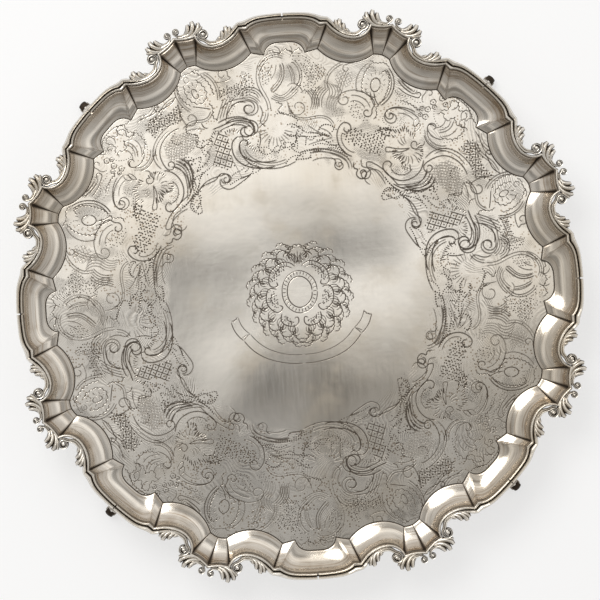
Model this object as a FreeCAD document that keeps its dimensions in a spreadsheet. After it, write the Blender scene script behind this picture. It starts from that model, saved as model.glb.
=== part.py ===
import FreeCAD, Part
import math
import os

# Round silver salver on four cast feet, in millimetres.
# It stands on z = 0 with its centre on the Z axis. A raised sheet makes the flat field and the fluted
# cavetto, eight border castings are soldered on the flange round the sheet, and four feet hang below it.
# The plan repeats in eight sectors. Each sector is symmetric about the middle of a scroll cluster and
# ends at the middle of a plain bay on both sides. Feet stand under every second plain bay.

SECTORS = 8
FEET = 4
SECTOR_ANGLE = 360.0 / SECTORS
HALF_SECTOR = SECTOR_ANGLE / 2

# Driving dimensions: alias, value.
SIZES = [
    ("rim_radius", 195.4),           # centre to the bead line at the crest of a scroll cluster
    ("cavetto_width", 19.0),         # plan width of the cavetto at that crest
    ("rim_arch_depth", 3.9),         # bead line: fall from the crest to the ends of its arch
    ("rim_lobe_depth", 15.05),       # bead line: fall from the crest to the floor of a lobe
    ("rim_bay_depth", 4.8),          # bead line: fall from the crest to the middle of a plain bay
    ("rim_corner_drop", 4.0),        # bead line: further fall at the ends of a plain bay
    ("field_arch_depth", 1.3),       # field line: the same four features
    ("field_lobe_depth", 11.44),
    ("field_bay_depth", 0.1),
    ("field_corner_drop", 7.4),
    ("field_height", 20.0),          # table to the underside of the field
    ("sheet_thickness", 1.3),
    ("cavetto_rise", 10.0),          # field to the seat of the border
    ("step_height", 0.6),            # sharp step round the field
    ("flange_width", 2.4),
    ("joint_gap", 0.1),              # solder gap between neighbouring castings
    ("base_thickness", 1.2),         # flat back of a casting
    ("bead_width", 1.8),
    ("bead_height", 2.5),
    ("moulding_width", 4.5),
    ("moulding_height", 3.3),
    ("scroll_radius", 4.3),          # large volute, outside
    ("scroll_width", 2.8),
    ("scroll_height", 4.2),
    ("small_scroll_radius", 2.8),
    ("small_scroll_width", 2.0),
    ("small_scroll_height", 3.6),
    ("leaf_width", 3.6),             # widest finger of a leaf
    ("leaf_height", 3.8),
    ("bracket_width", 13.0),         # foot: bracket soldered under the flange
    ("bracket_depth", 5.0),
    ("bracket_height", 2.0),
    ("bracket_gap", 0.25),           # bracket clear of the back of the cavetto
    ("bracket_knob_radius", 1.3),
    ("knee_width", 9.6),
    ("ankle_width", 5.8),
    ("leg_depth", 3.6),
    ("foot_splay", 5.5),             # bracket to toe, outwards
    ("toe_radius", 4.2),
    ("toe_width", 7.0),
    ("toe_eye_radius", 1.9),
    ("toe_eye_height", 0.6),
    ("pad_length", 5.0),             # flat under the toe
    ("pad_height", 1.2),
]

# Half outlines from the middle of a cluster (0 degrees) to the middle of a plain bay. Each stretch is a
# list of (angle, share of the arch depth, share of the lobe depth, share of the bay depth, share of the
# corner drop), and the depth below the crest circle is the sum of the four.
BEAD_LINE = [
    [(0.0, 0, 0, 0, 0), (2.24, 0.83, 0, 0, 0), (4.19, 1, 0, 0, 0)],
    [(4.19, 1, 0, 0, 0), (4.64, 0, 0.65, 0, 0), (6.34, 0, 0.95, 0, 0), (9.06, 0, 1, 0, 0),
     (11.36, 0, 0.84, 0, 0), (13.33, 0, 0.51, 0, 0)],
    [(13.33, 0, 0.51, 0, 0), (14.74, 0, 0, 1, 1)],
    [(14.74, 0, 0, 1, 1), (15.55, 0, 0, 1, 0.55), (16.76, 0, 0, 1, 0.19), (19.49, 0, 0, 1, 0),
     (22.5, 0, 0, 1, 0)],
]
FIELD_LINE = [
    [(0.0, 0, 0, 0, 0), (1.04, 0.36, 0, 0, 0), (1.96, 1, 0, 0, 0)],
    [(1.96, 1, 0, 0, 0), (3.36, 0, 0.51, 0, 0), (5.86, 0, 0.88, 0, 0), (9.6, 0, 1, 0, 0),
     (12.43, 0, 0.80, 0, 0), (14.74, 0, 0.405, 0, 0)],
    [(14.74, 0, 0.405, 0, 0), (17.68, 0, 0, 1, 1)],
    [(17.68, 0, 0, 1, 1), (18.32, 0, 0, 1, 0.47), (19.39, 0, 0, 1, 0.14), (20.87, 0, 0, 1, 0),
     (22.5, 0, 0, 1, 0)],
]
# Outer edge of the plain moulding: (angle, share of the bead line's corner drop).
MOULDING_EDGE = [(19.5, 0.0), (16.5, 0.11), (15.08, 0.36), (13.9, 0.52), (13.0, 0.48)]
# Profile of the plain moulding from its inner edge: (share of width, share of height).
MOULDING_PROFILE = [(0.0, 0.45), (0.08, 0.80), (0.22, 0.88), (0.36, 0.72), (0.44, 0.34), (0.60, 0.40),
                    (0.76, 0.85), (0.86, 1.0), (1.0, 0.55)]
# Cavetto from the step to the seat of the border: (share of its width, share of its rise).
CAVETTO_PROFILE = [(0.0, 0.0), (0.33, 0.16), (0.68, 0.48), (1.0, 1.0)]

# Points on a casting: (angle, height above the lobe floor circle) or (angle, height above the crest circle).
LOBE_MOULDING_EDGE = [(9.0, 4.7), (11.3, 7.8)]
BASE_LOBE_EDGE = [(12.3, 10.3), (11.5, 8.2), (11.04, 7.7), (9.31, 5.0), (7.48, 4.0), (6.34, 5.3), (5.77, 8.6)]
BASE_CREST_EDGE = [(5.70, -1.8), (4.70, 1.1), (2.92, 1.5), (1.16, 2.6), (0.0, 3.2)]
SCROLL_BODY = [(9.9, 4.1), (8.9, 3.4), (7.8, 3.3), (6.5, 4.4), (5.6, 7.0)]
SMALL_SCROLL_BODY = [(4.1, 1.2), (3.2, 0.6), (2.1, 0.6), (1.05, 1.5)]
# Leaves as fingers, each with its share of the leaf width and its path.
LOBE_LEAVES = [
    (0.67, [(7.67, 3.2), (8.41, 4.2), (8.99, 6.5)]),
    (0.89, [(8.17, 2.5), (9.32, 4.9), (9.72, 8.0), (9.75, 9.8)]),
    (1.00, [(8.95, 2.8), (10.22, 5.6), (10.64, 9.1), (10.59, 12.2)]),
    (0.83, [(9.84, 4.0), (10.95, 6.7), (11.32, 9.1), (11.40, 11.2)]),
]
CREST_LEAVES = [
    (0.83, [(1.76, 0.3), (2.80, 1.4), (3.44, 4.4), (3.58, 6.6)]),
    (1.00, [(2.06, -0.9), (3.51, 0.4), (4.38, 3.8), (4.52, 7.6)]),
    (1.00, [(2.67, -2.0), (4.28, -1.1), (5.24, 1.6), (5.61, 5.2)]),
    (0.61, [(3.56, -2.1), (4.87, -1.1), (5.73, 0.8), (6.10, 2.1)]),
]
# Swell of a strip from its root to its end, at even steps: shares of its width and of its height.
LEAF_SWELL = [(0.60, 0.50), (0.86, 0.78), (1.00, 1.00), (0.58, 0.62)]
SCROLL_SWELL = [(0.50, 0.50), (1.00, 0.74), (1.00, 0.78), (0.80, 0.80), (0.56, 0.80), (0.56, 0.80)]
# Small volute: clear of the axis of its cluster and above the crest of the bead line.
SMALL_VOLUTE_PLACE = (0.6, 2.2)
# Start angle and turn of the volutes, in degrees.
VOLUTE_WIND = (200.0, 280.0)
SMALL_VOLUTE_WIND = (250.0, 280.0)
VOLUTE_STEP = 28.0                   # degrees between the sections of a volute

# Leg of a foot: shares of the bracket's width and depth at its root, then sections downwards as
# (share of the splay, share of the height, width, its share, share of the leg depth).
LEG_ROOT = (0.92, 0.8)
LEG_SECTIONS = [
    (0.20, 0.78, "knee_width", 1.0, 1.30),
    (0.10, 0.48, "ankle_width", 1.12, 1.0),
    (0.45, 0.24, "ankle_width", 1.0, 0.95),
]


def make_sheet(doc):
    """Spreadsheet that holds every driving dimension under its alias."""
    sheet = doc.addObject("Spreadsheet::Sheet", "Sizes")
    for row, (alias, value) in enumerate(SIZES, start=1):
        sheet.set("A%d" % row, alias)
        sheet.set("B%d" % row, str(value))
        sheet.setAlias("B%d" % row, alias)
    doc.recompute()
    return sheet


def polar(radius, angle):
    """Point in the plan of a sector whose cluster lies on +Y; positive angles turn towards +X."""
    turn = math.radians(angle)
    return FreeCAD.Vector(radius * math.sin(turn), radius * math.cos(turn), 0)


def spline(points):
    """Smooth edge through points, or a straight one through two."""
    if len(points) == 2:
        return Part.LineSegment(points[0], points[1]).toShape()
    curve = Part.BSplineCurve()
    curve.interpolate(points)
    return curve.toShape()


def line_radii(line, crest, arch, lobe, bay, corner):
    """Half outline as stretches of (angle, radius)."""
    stretches = []
    for stretch in line:
        radii = []
        for angle, a, b, c, d in stretch:
            radii.append((angle, crest - a * arch - b * lobe - c * bay - d * corner))
        stretches.append(radii)
    return stretches


def bead_line(sizes):
    return line_radii(BEAD_LINE, sizes.rim_radius, sizes.rim_arch_depth, sizes.rim_lobe_depth,
                      sizes.rim_bay_depth, sizes.rim_corner_drop)


def field_line(sizes):
    return line_radii(FIELD_LINE, sizes.rim_radius - sizes.cavetto_width, sizes.field_arch_depth,
                      sizes.field_lobe_depth, sizes.field_bay_depth, sizes.field_corner_drop)


def blend(inner, outer, share, offset):
    """Half outline a share of the way from inner to outer, moved outwards by offset."""
    stretches = []
    for low, high in zip(inner, outer):
        points = []
        for (low_angle, low_radius), (high_angle, high_radius) in zip(low, high):
            place = polar(low_radius, low_angle) * (1 - share) + polar(high_radius, high_angle) * share
            points.append((math.degrees(math.atan2(place.x, place.y)), place.Length + offset))
        stretches.append(points)
    return stretches


def ring_wire(half_outline):
    """Closed outline round the whole salver from one half outline."""
    arch, lobe, step, bay = half_outline
    edges = []
    for sector in range(SECTORS):
        axis = sector * SECTOR_ANGLE
        for stretch in (arch, lobe, step):
            edges.append(spline([polar(radius, axis + angle) for angle, radius in stretch]))
        far_side = [(SECTOR_ANGLE - angle, radius) for angle, radius in reversed(bay[:-1])]
        edges.append(spline([polar(radius, axis + angle) for angle, radius in bay + far_side]))
        for stretch in (step, lobe, arch):
            back = [(SECTOR_ANGLE - angle, radius) for angle, radius in reversed(stretch)]
            edges.append(spline([polar(radius, axis + angle) for angle, radius in back]))
    return Part.Wire(edges)


def add_outline(doc, name, half_outline, height):
    """Outline of the sheet at a height that is bound to the sizes."""
    outline = doc.addObject("Part::Feature", name)
    outline.Shape = ring_wire(half_outline)
    outline.setExpression("Placement.Base.z", height)
    outline.setExpression("Placement.Rotation.Angle", "%s deg" % HALF_SECTOR)
    return outline


def add_loft(doc, name, sections):
    loft = doc.addObject("Part::Loft", name)
    loft.Sections = sections
    loft.Solid = True
    loft.Ruled = False
    return loft


def add_slab(doc, name, outline, height):
    """Solid slab that rises from a closed outline."""
    slab = doc.addObject("Part::Extrusion", name)
    slab.Base = outline
    slab.DirMode = "Custom"
    slab.Dir = FreeCAD.Vector(0, 0, 1)
    slab.Solid = True
    slab.setExpression("LengthFwd", height)
    return slab


def make_plate(doc, sizes):
    """Sheet: the body that its underside bounds, less the body that its upper side bounds."""
    inner = field_line(sizes)
    outer = bead_line(sizes)
    under_sections = []
    upper_sections = []
    for level, (share, rise) in enumerate(CAVETTO_PROFILE):
        under = blend(inner, outer, share, sizes.sheet_thickness / 2)
        under_height = "Sizes.field_height + %s * Sizes.cavetto_rise" % rise
        under_sections.append(add_outline(doc, "UnderLine%d" % level, under, under_height))
        upper = blend(inner, outer, share, 0)
        upper_height = ("Sizes.field_height + Sizes.sheet_thickness + Sizes.step_height"
                        " + %s * (Sizes.cavetto_rise - Sizes.step_height)" % rise)
        upper_sections.append(add_outline(doc, "UpperLine%d" % level, upper, upper_height))
    under_body = add_loft(doc, "UnderBody", under_sections)
    upper_body = add_loft(doc, "UpperBody", upper_sections)
    flange_line = add_outline(doc, "FlangeLine", blend(inner, outer, 1, sizes.flange_width),
                              "Sizes.field_height + Sizes.cavetto_rise")
    flange = add_slab(doc, "Flange", flange_line, "Sizes.sheet_thickness")
    step_line = add_outline(doc, "StepLine", inner, "Sizes.field_height + Sizes.sheet_thickness")
    step = add_slab(doc, "Step", step_line, "Sizes.step_height")
    blank = doc.addObject("Part::MultiFuse", "Blank")
    blank.Shapes = [under_body, flange]
    hollow = doc.addObject("Part::MultiFuse", "Hollow")
    hollow.Shapes = [upper_body, step]
    plate = doc.addObject("Part::Cut", "Plate")
    plate.Label = "plate"
    plate.Base = blank
    plate.Tool = hollow
    return plate


def heading(points, index):
    """Direction of a path at one of its points."""
    before = points[max(index - 1, 0)]
    after = points[min(index + 1, len(points) - 1)]
    direction = after - before
    return direction.normalize()


def cross_section(point, direction, profile, base):
    """Closed upright section across a path; profile is a list of (sideways, height above base)."""
    side = FreeCAD.Vector(direction.y, -direction.x, 0)
    corners = []
    for sideways, height in profile:
        corner = point + side * sideways
        corner.z = base + height
        corners.append(corner)
    return Part.makePolygon(corners + corners[:1])


def leaf_profile(width, height):
    return [(-width / 2, 0), (-width * 0.42, height * 0.35), (0, height), (width * 0.42, height * 0.35),
            (width / 2, 0)]


def scroll_profile(width, height):
    return [(-width / 2, 0), (-width * 0.36, height * 0.86), (0, height), (width * 0.36, height * 0.86),
            (width / 2, 0)]


def ridge(points, widths, heights, profile, base):
    """Raised strip along a path, with its width and height given at every point."""
    sections = []
    for index, point in enumerate(points):
        outline = profile(widths[index], heights[index])
        sections.append(cross_section(point, heading(points, index), outline, base))
    return Part.makeLoft(sections, True, True)


def volute_points(centre, outer_radius, inner_radius, start, turn):
    """Spiral that winds clockwise from outer_radius to inner_radius round a centre."""
    count = int(round(turn / VOLUTE_STEP))
    points = []
    for index in range(count + 1):
        share = index / count
        angle = math.radians(start - share * turn)
        radius = outer_radius + (inner_radius - outer_radius) * share
        points.append(centre + FreeCAD.Vector(math.cos(angle), math.sin(angle), 0) * radius)
    return points


def swelling(swell, count):
    """Shares of width and of height at a number of even steps."""
    widths = []
    heights = []
    for index in range(count):
        place = index / (count - 1) * (len(swell) - 1)
        step = min(int(place), len(swell) - 2)
        (low_width, low_height), (high_width, high_height) = swell[step:step + 2]
        widths.append(low_width + (high_width - low_width) * (place - step))
        heights.append(low_height + (high_height - low_height) * (place - step))
    return widths, heights


def swelling_ridge(points, swell, width, height, profile, base):
    """Raised strip that swells along its path."""
    widths, heights = swelling(swell, len(points))
    return ridge(points, [width * share for share in widths], [height * share for share in heights],
                 profile, base)


def scroll_with_eye(body, centre, radius, width, height, wind, base):
    """C-scroll: a body that swells and runs into a volute round a domed eye."""
    start, turn = wind
    eye_radius = radius * 0.32
    coil_width = width * SCROLL_SWELL[-1][0]
    spiral = volute_points(centre, radius - coil_width / 2, eye_radius + coil_width / 3, start, turn)
    scroll = swelling_ridge(body + spiral, SCROLL_SWELL, width, height, scroll_profile, base)
    eye = Part.makeCone(eye_radius, eye_radius * 0.5, height * 0.9, centre + FreeCAD.Vector(0, 0, base))
    disc = Part.makeCylinder(radius * 0.8, base * 1.6, centre)
    return [scroll, eye, disc]


def moulding_section(inner, outer, height, base):
    """Section of the moulding between two points in the plan."""
    corners = [FreeCAD.Vector(inner.x, inner.y, base)]
    for across, lift in MOULDING_PROFILE:
        corner = inner + (outer - inner) * across
        corner.z = base + lift * height
        corners.append(corner)
    corners.append(FreeCAD.Vector(outer.x, outer.y, base))
    return Part.makePolygon(corners + corners[:1])


def make_casting_pattern(sizes):
    """One border casting in the plan of its sector, with its back on z = 0."""
    arch, lobe, step, bay = bead_line(sizes)
    base = sizes.base_thickness / 2
    end_angle = HALF_SECTOR - math.degrees(sizes.joint_gap / 2 / sizes.rim_radius)
    lobe_floor = sizes.rim_radius - sizes.rim_lobe_depth
    crest = sizes.rim_radius
    set_back = 0.15                  # ornament stands this far inside the edges of the base

    moulding_radius = sizes.rim_radius - sizes.rim_bay_depth + sizes.moulding_width
    edge = [(end_angle, moulding_radius)]
    for angle, share in MOULDING_EDGE:
        edge.append((angle, moulding_radius - share * sizes.rim_corner_drop))

    # Base: the bead line inside, the moulding's edge and the back of the ornament outside.
    bay_part = bay[:-1] + [(end_angle, bay[-1][1])]
    inner_stretches = [arch, lobe, step, bay_part]
    outer_bay = [polar(radius - 2 * set_back, angle) for angle, radius in edge]
    outer_lobe = outer_bay[-1:] + [polar(lobe_floor + lift, angle) for angle, lift in BASE_LOBE_EDGE]
    outer_crest = outer_lobe[-1:] + [polar(crest + lift, angle) for angle, lift in BASE_CREST_EDGE]
    edges = []
    for points in [[polar(radius, angle) for angle, radius in stretch] for stretch in inner_stretches] + [
            [polar(bay_part[-1][1], end_angle), outer_bay[0]], outer_bay, outer_lobe, outer_crest]:
        edges.append(spline(points))
        edges.append(spline([FreeCAD.Vector(-point.x, point.y, 0) for point in points]))
    outline = Part.Wire(Part.__sortEdges__(edges))
    back = Part.Face(outline).extrude(FreeCAD.Vector(0, 0, sizes.base_thickness))

    # Moulding: along the plain bay to the corner, then round it and down to the floor of the lobe.
    bay_sections = []
    for angle, radius in bay_part[::-1]:
        bay_sections.append(moulding_section(polar(radius + set_back, angle),
                                             polar(edge_radius(edge, angle), angle),
                                             sizes.moulding_height, base))
    lobe_sections = []
    lobe_edge = LOBE_MOULDING_EDGE + [(edge[-1][0], edge[-1][1] - lobe_floor)]
    for (inner_angle, inner_radius), (outer_angle, lift) in zip(lobe[-3:], lobe_edge):
        lobe_sections.append(moulding_section(polar(inner_radius + set_back, inner_angle),
                                              polar(lobe_floor + lift, outer_angle),
                                              sizes.moulding_height, base))
    half = [Part.makeLoft(bay_sections, True, True),
            Part.makeLoft([bay_sections[-1], lobe_sections[-1]], True, True),
            Part.makeLoft(lobe_sections, True, True)]

    # Bead round the rest of the lobe and the arch.
    for stretch in (lobe[:-2], arch):
        line = [polar(radius + sizes.bead_width / 2 + set_back, angle) for angle, radius in stretch]
        count = len(line)
        half.append(ridge(line, [sizes.bead_width] * count, [sizes.bead_height - base] * count,
                          scroll_profile, base))

    # Large C-scroll, which starts on the lobe floor and winds up beside the arch.
    corner = polar(lobe[0][1], lobe[0][0])
    centre = corner + FreeCAD.Vector(sizes.bead_width * 0.7 + sizes.scroll_radius, -0.4, 0)
    body = [polar(lobe_floor + lift, angle) for angle, lift in SCROLL_BODY]
    half += scroll_with_eye(body, centre, sizes.scroll_radius, sizes.scroll_width,
                            sizes.scroll_height, VOLUTE_WIND, base)

    # Small scroll at the crest.
    aside, above = SMALL_VOLUTE_PLACE
    small_centre = FreeCAD.Vector(sizes.small_scroll_radius + aside,
                                  crest + above + sizes.small_scroll_radius, 0)
    body = [polar(crest + lift, angle) for angle, lift in SMALL_SCROLL_BODY]
    half += scroll_with_eye(body, small_centre, sizes.small_scroll_radius, sizes.small_scroll_width,
                            sizes.small_scroll_height, SMALL_VOLUTE_WIND, base)

    for reference, leaf in ((lobe_floor, LOBE_LEAVES), (crest, CREST_LEAVES)):
        for share, path in leaf:
            points = [polar(reference + lift, angle) for angle, lift in path]
            half.append(swelling_ridge(points, LEAF_SWELL, sizes.leaf_width * share, sizes.leaf_height,
                                       leaf_profile, base))

    other_half = [piece.mirror(FreeCAD.Vector(0, 0, 0), FreeCAD.Vector(1, 0, 0)) for piece in half]
    return back.fuse(half + other_half).removeSplitter()


def edge_radius(edge, angle):
    """Radius of the moulding's outer edge at an angle, from its points in falling angle."""
    if angle <= edge[-1][0]:
        return edge[-1][1]
    for (high_angle, high_radius), (low_angle, low_radius) in zip(edge, edge[1:]):
        if low_angle <= angle:
            share = (angle - low_angle) / (high_angle - low_angle)
            return low_radius + (high_radius - low_radius) * share
    return edge[0][1]


def make_castings(doc, sizes):
    """Eight castings from one pattern, seated on the flange."""
    pattern = make_casting_pattern(sizes)
    seat = "Sizes.field_height + Sizes.cavetto_rise + Sizes.sheet_thickness"
    castings = []
    for index in range(SECTORS):
        casting = doc.addObject("Part::Feature", "RimCasting%d" % (index + 1))
        casting.Label = "rim_casting_%d" % (index + 1)
        casting.Shape = pattern
        turn = HALF_SECTOR + index * SECTOR_ANGLE - 90
        casting.Placement = FreeCAD.Placement(FreeCAD.Vector(), FreeCAD.Rotation(turn, 0, 0))
        casting.setExpression("Placement.Base.z", seat)
        castings.append(casting)
    return castings


def add_primitive(doc, kind, name, sizes, place):
    """Part primitive whose sizes and place are expressions, keyed by property."""
    primitive = doc.addObject(kind, name)
    for prop, expression in sizes.items():
        primitive.setExpression(prop, expression)
    for axis, expression in zip("xyz", place):
        primitive.setExpression("Placement.Base." + axis, expression)
    return primitive


def make_foot(doc, number):
    """Cast foot with its back at x = 0 and its toe pointing along +X."""
    name = "Foot%d" % number
    top = "(Sizes.field_height + Sizes.cavetto_rise)"
    toe_x = "(Sizes.bracket_depth / 2 + Sizes.foot_splay)"
    width_share, depth_share = LEG_ROOT
    leg = [("Sizes.bracket_depth / 2", top + " - Sizes.bracket_height / 2",
            "Sizes.bracket_width * %s" % width_share, "Sizes.bracket_depth * %s" % depth_share)]
    for splay, rise, width, width_share, depth_share in LEG_SECTIONS:
        leg.append(("Sizes.bracket_depth / 2 + Sizes.foot_splay * %s" % splay, "%s * %s" % (top, rise),
                    "Sizes.%s * %s" % (width, width_share), "Sizes.leg_depth * %s" % depth_share))
    leg.append((toe_x, "Sizes.toe_radius", "Sizes.ankle_width", "Sizes.leg_depth"))
    sections = []
    for index, (x, z, width, depth) in enumerate(leg):
        radii = {"MajorRadius": "max(%s; %s) / 2" % (width, depth), "MinorRadius": "%s / 2" % depth}
        section = add_primitive(doc, "Part::Ellipse", "%sSection%d" % (name, index), radii, (x, "0 mm", z))
        section.Placement.Rotation = FreeCAD.Rotation(90, 0, 0)
        sections.append(section)
    pieces = [add_loft(doc, name + "Leg", sections)]
    pieces.append(add_primitive(
        doc, "Part::Box", name + "Bracket",
        {"Length": "Sizes.bracket_depth", "Width": "Sizes.bracket_width", "Height": "Sizes.bracket_height"},
        ("0 mm", "-Sizes.bracket_width / 2", top + " - Sizes.bracket_height")))
    for side in (-1, 1):
        pieces.append(add_primitive(
            doc, "Part::Sphere", "%sKnob%d" % (name, side + 2), {"Radius": "Sizes.bracket_knob_radius"},
            ("Sizes.bracket_depth - Sizes.bracket_knob_radius / 2", "%d * Sizes.bracket_width / 2" % side,
             top + " - Sizes.bracket_knob_radius")))
    toe = add_primitive(
        doc, "Part::Cylinder", name + "Toe", {"Radius": "Sizes.toe_radius", "Height": "Sizes.toe_width"},
        (toe_x, "Sizes.toe_width / 2", "Sizes.toe_radius"))
    eye = add_primitive(
        doc, "Part::Cylinder", name + "ToeEye",
        {"Radius": "Sizes.toe_eye_radius", "Height": "Sizes.toe_width + 2 * Sizes.toe_eye_height"},
        (toe_x, "Sizes.toe_width / 2 + Sizes.toe_eye_height", "Sizes.toe_radius"))
    for roll in (toe, eye):
        roll.Placement.Rotation = FreeCAD.Rotation(FreeCAD.Vector(1, 0, 0), 90)
        pieces.append(roll)
    pieces.append(add_primitive(
        doc, "Part::Box", name + "Pad",
        {"Length": "Sizes.pad_length", "Width": "Sizes.toe_width", "Height": "Sizes.pad_height"},
        (toe_x + " - Sizes.pad_length / 2", "-Sizes.toe_width / 2", "0 mm")))
    foot = doc.addObject("Part::MultiFuse", name)
    foot.Label = "foot_%d" % number
    foot.Shapes = pieces
    angle = (number - 0.5) * 360.0 / FEET
    foot.Placement.Rotation = FreeCAD.Rotation(angle, 0, 0)
    radius = "(Sizes.rim_radius - Sizes.rim_bay_depth + Sizes.sheet_thickness / 2 + Sizes.bracket_gap)"
    foot.setExpression("Placement.Base.x", "%s * cos(%s deg)" % (radius, angle))
    foot.setExpression("Placement.Base.y", "%s * sin(%s deg)" % (radius, angle))
    return foot


def check_document(doc):
    """Stop on any object that failed to compute."""
    for item in doc.Objects:
        if "Invalid" in item.State or "Error" in item.State:
            raise RuntimeError("%s did not compute: %s" % (item.Name, item.State))


def export(node):
    shape = node.Shape
    if shape.isNull() or not shape.isValid():
        raise RuntimeError("%s has no valid shape" % node.Label)
    if len(shape.Solids) != 1:
        raise RuntimeError("%s has %d solids" % (node.Label, len(shape.Solids)))
    shape.exportStep(os.path.join("parts", node.Label + ".step"))
    print("%-16s %10.1f mm3 %4d faces" % (node.Label, shape.Volume, len(shape.Faces)))


def main():
    os.makedirs("parts", exist_ok=True)
    doc = FreeCAD.newDocument("Salver")
    sizes = make_sheet(doc)
    nodes = [make_plate(doc, sizes)]
    nodes += make_castings(doc, sizes)
    for number in range(1, FEET + 1):
        nodes.append(make_foot(doc, number))
    doc.recompute()
    check_document(doc)
    for node in nodes:
        export(node)


main()
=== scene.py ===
import math

import bmesh
import bpy
import numpy as np
from bpy.props import FloatProperty, FloatVectorProperty, PointerProperty
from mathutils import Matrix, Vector, kdtree
from mathutils.geometry import delaunay_2d_cdt


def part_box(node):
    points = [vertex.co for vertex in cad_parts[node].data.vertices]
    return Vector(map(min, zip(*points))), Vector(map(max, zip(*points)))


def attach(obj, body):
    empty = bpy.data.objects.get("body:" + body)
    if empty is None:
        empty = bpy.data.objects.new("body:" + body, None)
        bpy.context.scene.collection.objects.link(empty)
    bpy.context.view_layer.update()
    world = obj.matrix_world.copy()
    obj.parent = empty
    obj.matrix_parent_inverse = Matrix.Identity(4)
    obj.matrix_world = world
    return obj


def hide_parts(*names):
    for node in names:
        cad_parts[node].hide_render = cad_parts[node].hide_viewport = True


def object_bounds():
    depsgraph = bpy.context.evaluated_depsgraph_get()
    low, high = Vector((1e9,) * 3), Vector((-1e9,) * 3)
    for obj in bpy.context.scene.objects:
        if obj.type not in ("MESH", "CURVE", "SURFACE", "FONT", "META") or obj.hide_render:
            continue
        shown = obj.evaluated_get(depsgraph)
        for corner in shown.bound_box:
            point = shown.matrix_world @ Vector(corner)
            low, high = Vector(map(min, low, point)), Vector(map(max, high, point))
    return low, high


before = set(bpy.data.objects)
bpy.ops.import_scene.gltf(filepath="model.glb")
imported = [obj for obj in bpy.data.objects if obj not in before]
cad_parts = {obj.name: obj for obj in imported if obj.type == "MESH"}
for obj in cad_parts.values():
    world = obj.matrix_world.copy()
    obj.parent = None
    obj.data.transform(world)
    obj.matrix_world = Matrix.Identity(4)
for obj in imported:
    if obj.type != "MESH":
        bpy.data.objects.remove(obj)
cad_box = [list(corner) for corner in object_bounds()]

bl_info = {
    "name": "Silver salver",
    "version": (1, 0, 0),
    "blender": (4, 5, 0),
    "location": "3D View > Sidebar > Salver",
    "description": "Dresses the packed silver salver: chased plate, cast border, scroll feet and stage",
    "category": "Add Mesh",
}

MM = 0.001
BODY = "root"
SECTORS = 8
SECTOR_ANGLE = 360.0 / SECTORS
QUARTERS = 4
PLATE_LOW, PLATE_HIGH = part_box("plate")

# Half outlines from the middle of a scroll cluster (0 degrees) to the middle of a plain bay. Each stretch
# is a list of (angle, share of arch depth, share of lobe depth, share of bay depth, share of corner drop).
BEAD_LINE = [
    [(0.0, 0, 0, 0, 0), (2.24, 0.83, 0, 0, 0), (4.19, 1, 0, 0, 0)],
    [(4.19, 1, 0, 0, 0), (4.64, 0, 0.65, 0, 0), (6.34, 0, 0.95, 0, 0), (9.06, 0, 1, 0, 0),
     (11.36, 0, 0.84, 0, 0), (13.33, 0, 0.51, 0, 0)],
    [(13.33, 0, 0.51, 0, 0), (14.74, 0, 0, 1, 1)],
    [(14.74, 0, 0, 1, 1), (15.55, 0, 0, 1, 0.55), (16.76, 0, 0, 1, 0.19), (19.49, 0, 0, 1, 0),
     (22.5, 0, 0, 1, 0)],
]
FIELD_LINE = [
    [(0.0, 0, 0, 0, 0), (1.04, 0.36, 0, 0, 0), (1.96, 1, 0, 0, 0)],
    [(1.96, 1, 0, 0, 0), (3.36, 0, 0.51, 0, 0), (5.86, 0, 0.88, 0, 0), (9.6, 0, 1, 0, 0),
     (12.43, 0, 0.80, 0, 0), (14.74, 0, 0.405, 0, 0)],
    [(14.74, 0, 0.405, 0, 0), (17.68, 0, 0, 1, 1)],
    [(17.68, 0, 0, 1, 1), (18.32, 0, 0, 1, 0.47), (19.39, 0, 0, 1, 0.14), (20.87, 0, 0, 1, 0),
     (22.5, 0, 0, 1, 0)],
]
# Depths in millimetres below the crest circle that the shares above stand for.
RIM_LINE = {"arch": 3.9, "lobe": 15.05, "bay": 4.8, "corner": 4.0}
FIELD_STEP = {"arch": 1.3, "lobe": 11.44, "bay": 0.1, "corner": 7.4}
# Cavetto from the step to the seat of the border: (share of its width, share of its rise).
CAVETTO_PROFILE = [(0.0, 0.0), (0.33, 0.16), (0.68, 0.48), (1.0, 1.0)]
# Outer edge of the moulding: (angle, share of the corner drop below the outside of the moulding).
MOULDING_EDGE = [(22.5, 0.0), (19.5, 0.0), (16.5, 0.11), (15.08, 0.36), (13.9, 0.52), (13.0, 0.48)]
# Points on a border casting: (angle, height above the circle of the lobe floors or of the crests). A leaf
# finger has its width in millimetres and its path.
SWEPT_EDGE = [(12.35, 10.9), (11.5, 8.2), (10.4, 5.8), (9.2, 4.7), (8.0, 4.5)]
SCROLL_BODY = [(10.9, 5.0), (9.6, 3.9), (8.6, 3.3), (7.67, 3.3), (6.47, 4.6), (5.66, 7.6)]
SMALL_SCROLL_BODY = [(4.3, 1.2), (3.2, 0.5), (2.1, 0.5), (1.0, 1.5)]
LOBE_LEAVES = [
    (2.8, [(7.67, 3.2), (8.41, 4.2), (8.99, 6.5)]),
    (3.7, [(8.17, 2.5), (9.32, 4.9), (9.72, 8.0), (9.75, 9.8)]),
    (4.1, [(8.95, 2.8), (10.22, 5.6), (10.64, 9.1), (10.59, 12.2)]),
    (3.5, [(9.84, 4.0), (10.95, 6.7), (11.32, 9.1), (11.40, 11.2)]),
]
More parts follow.
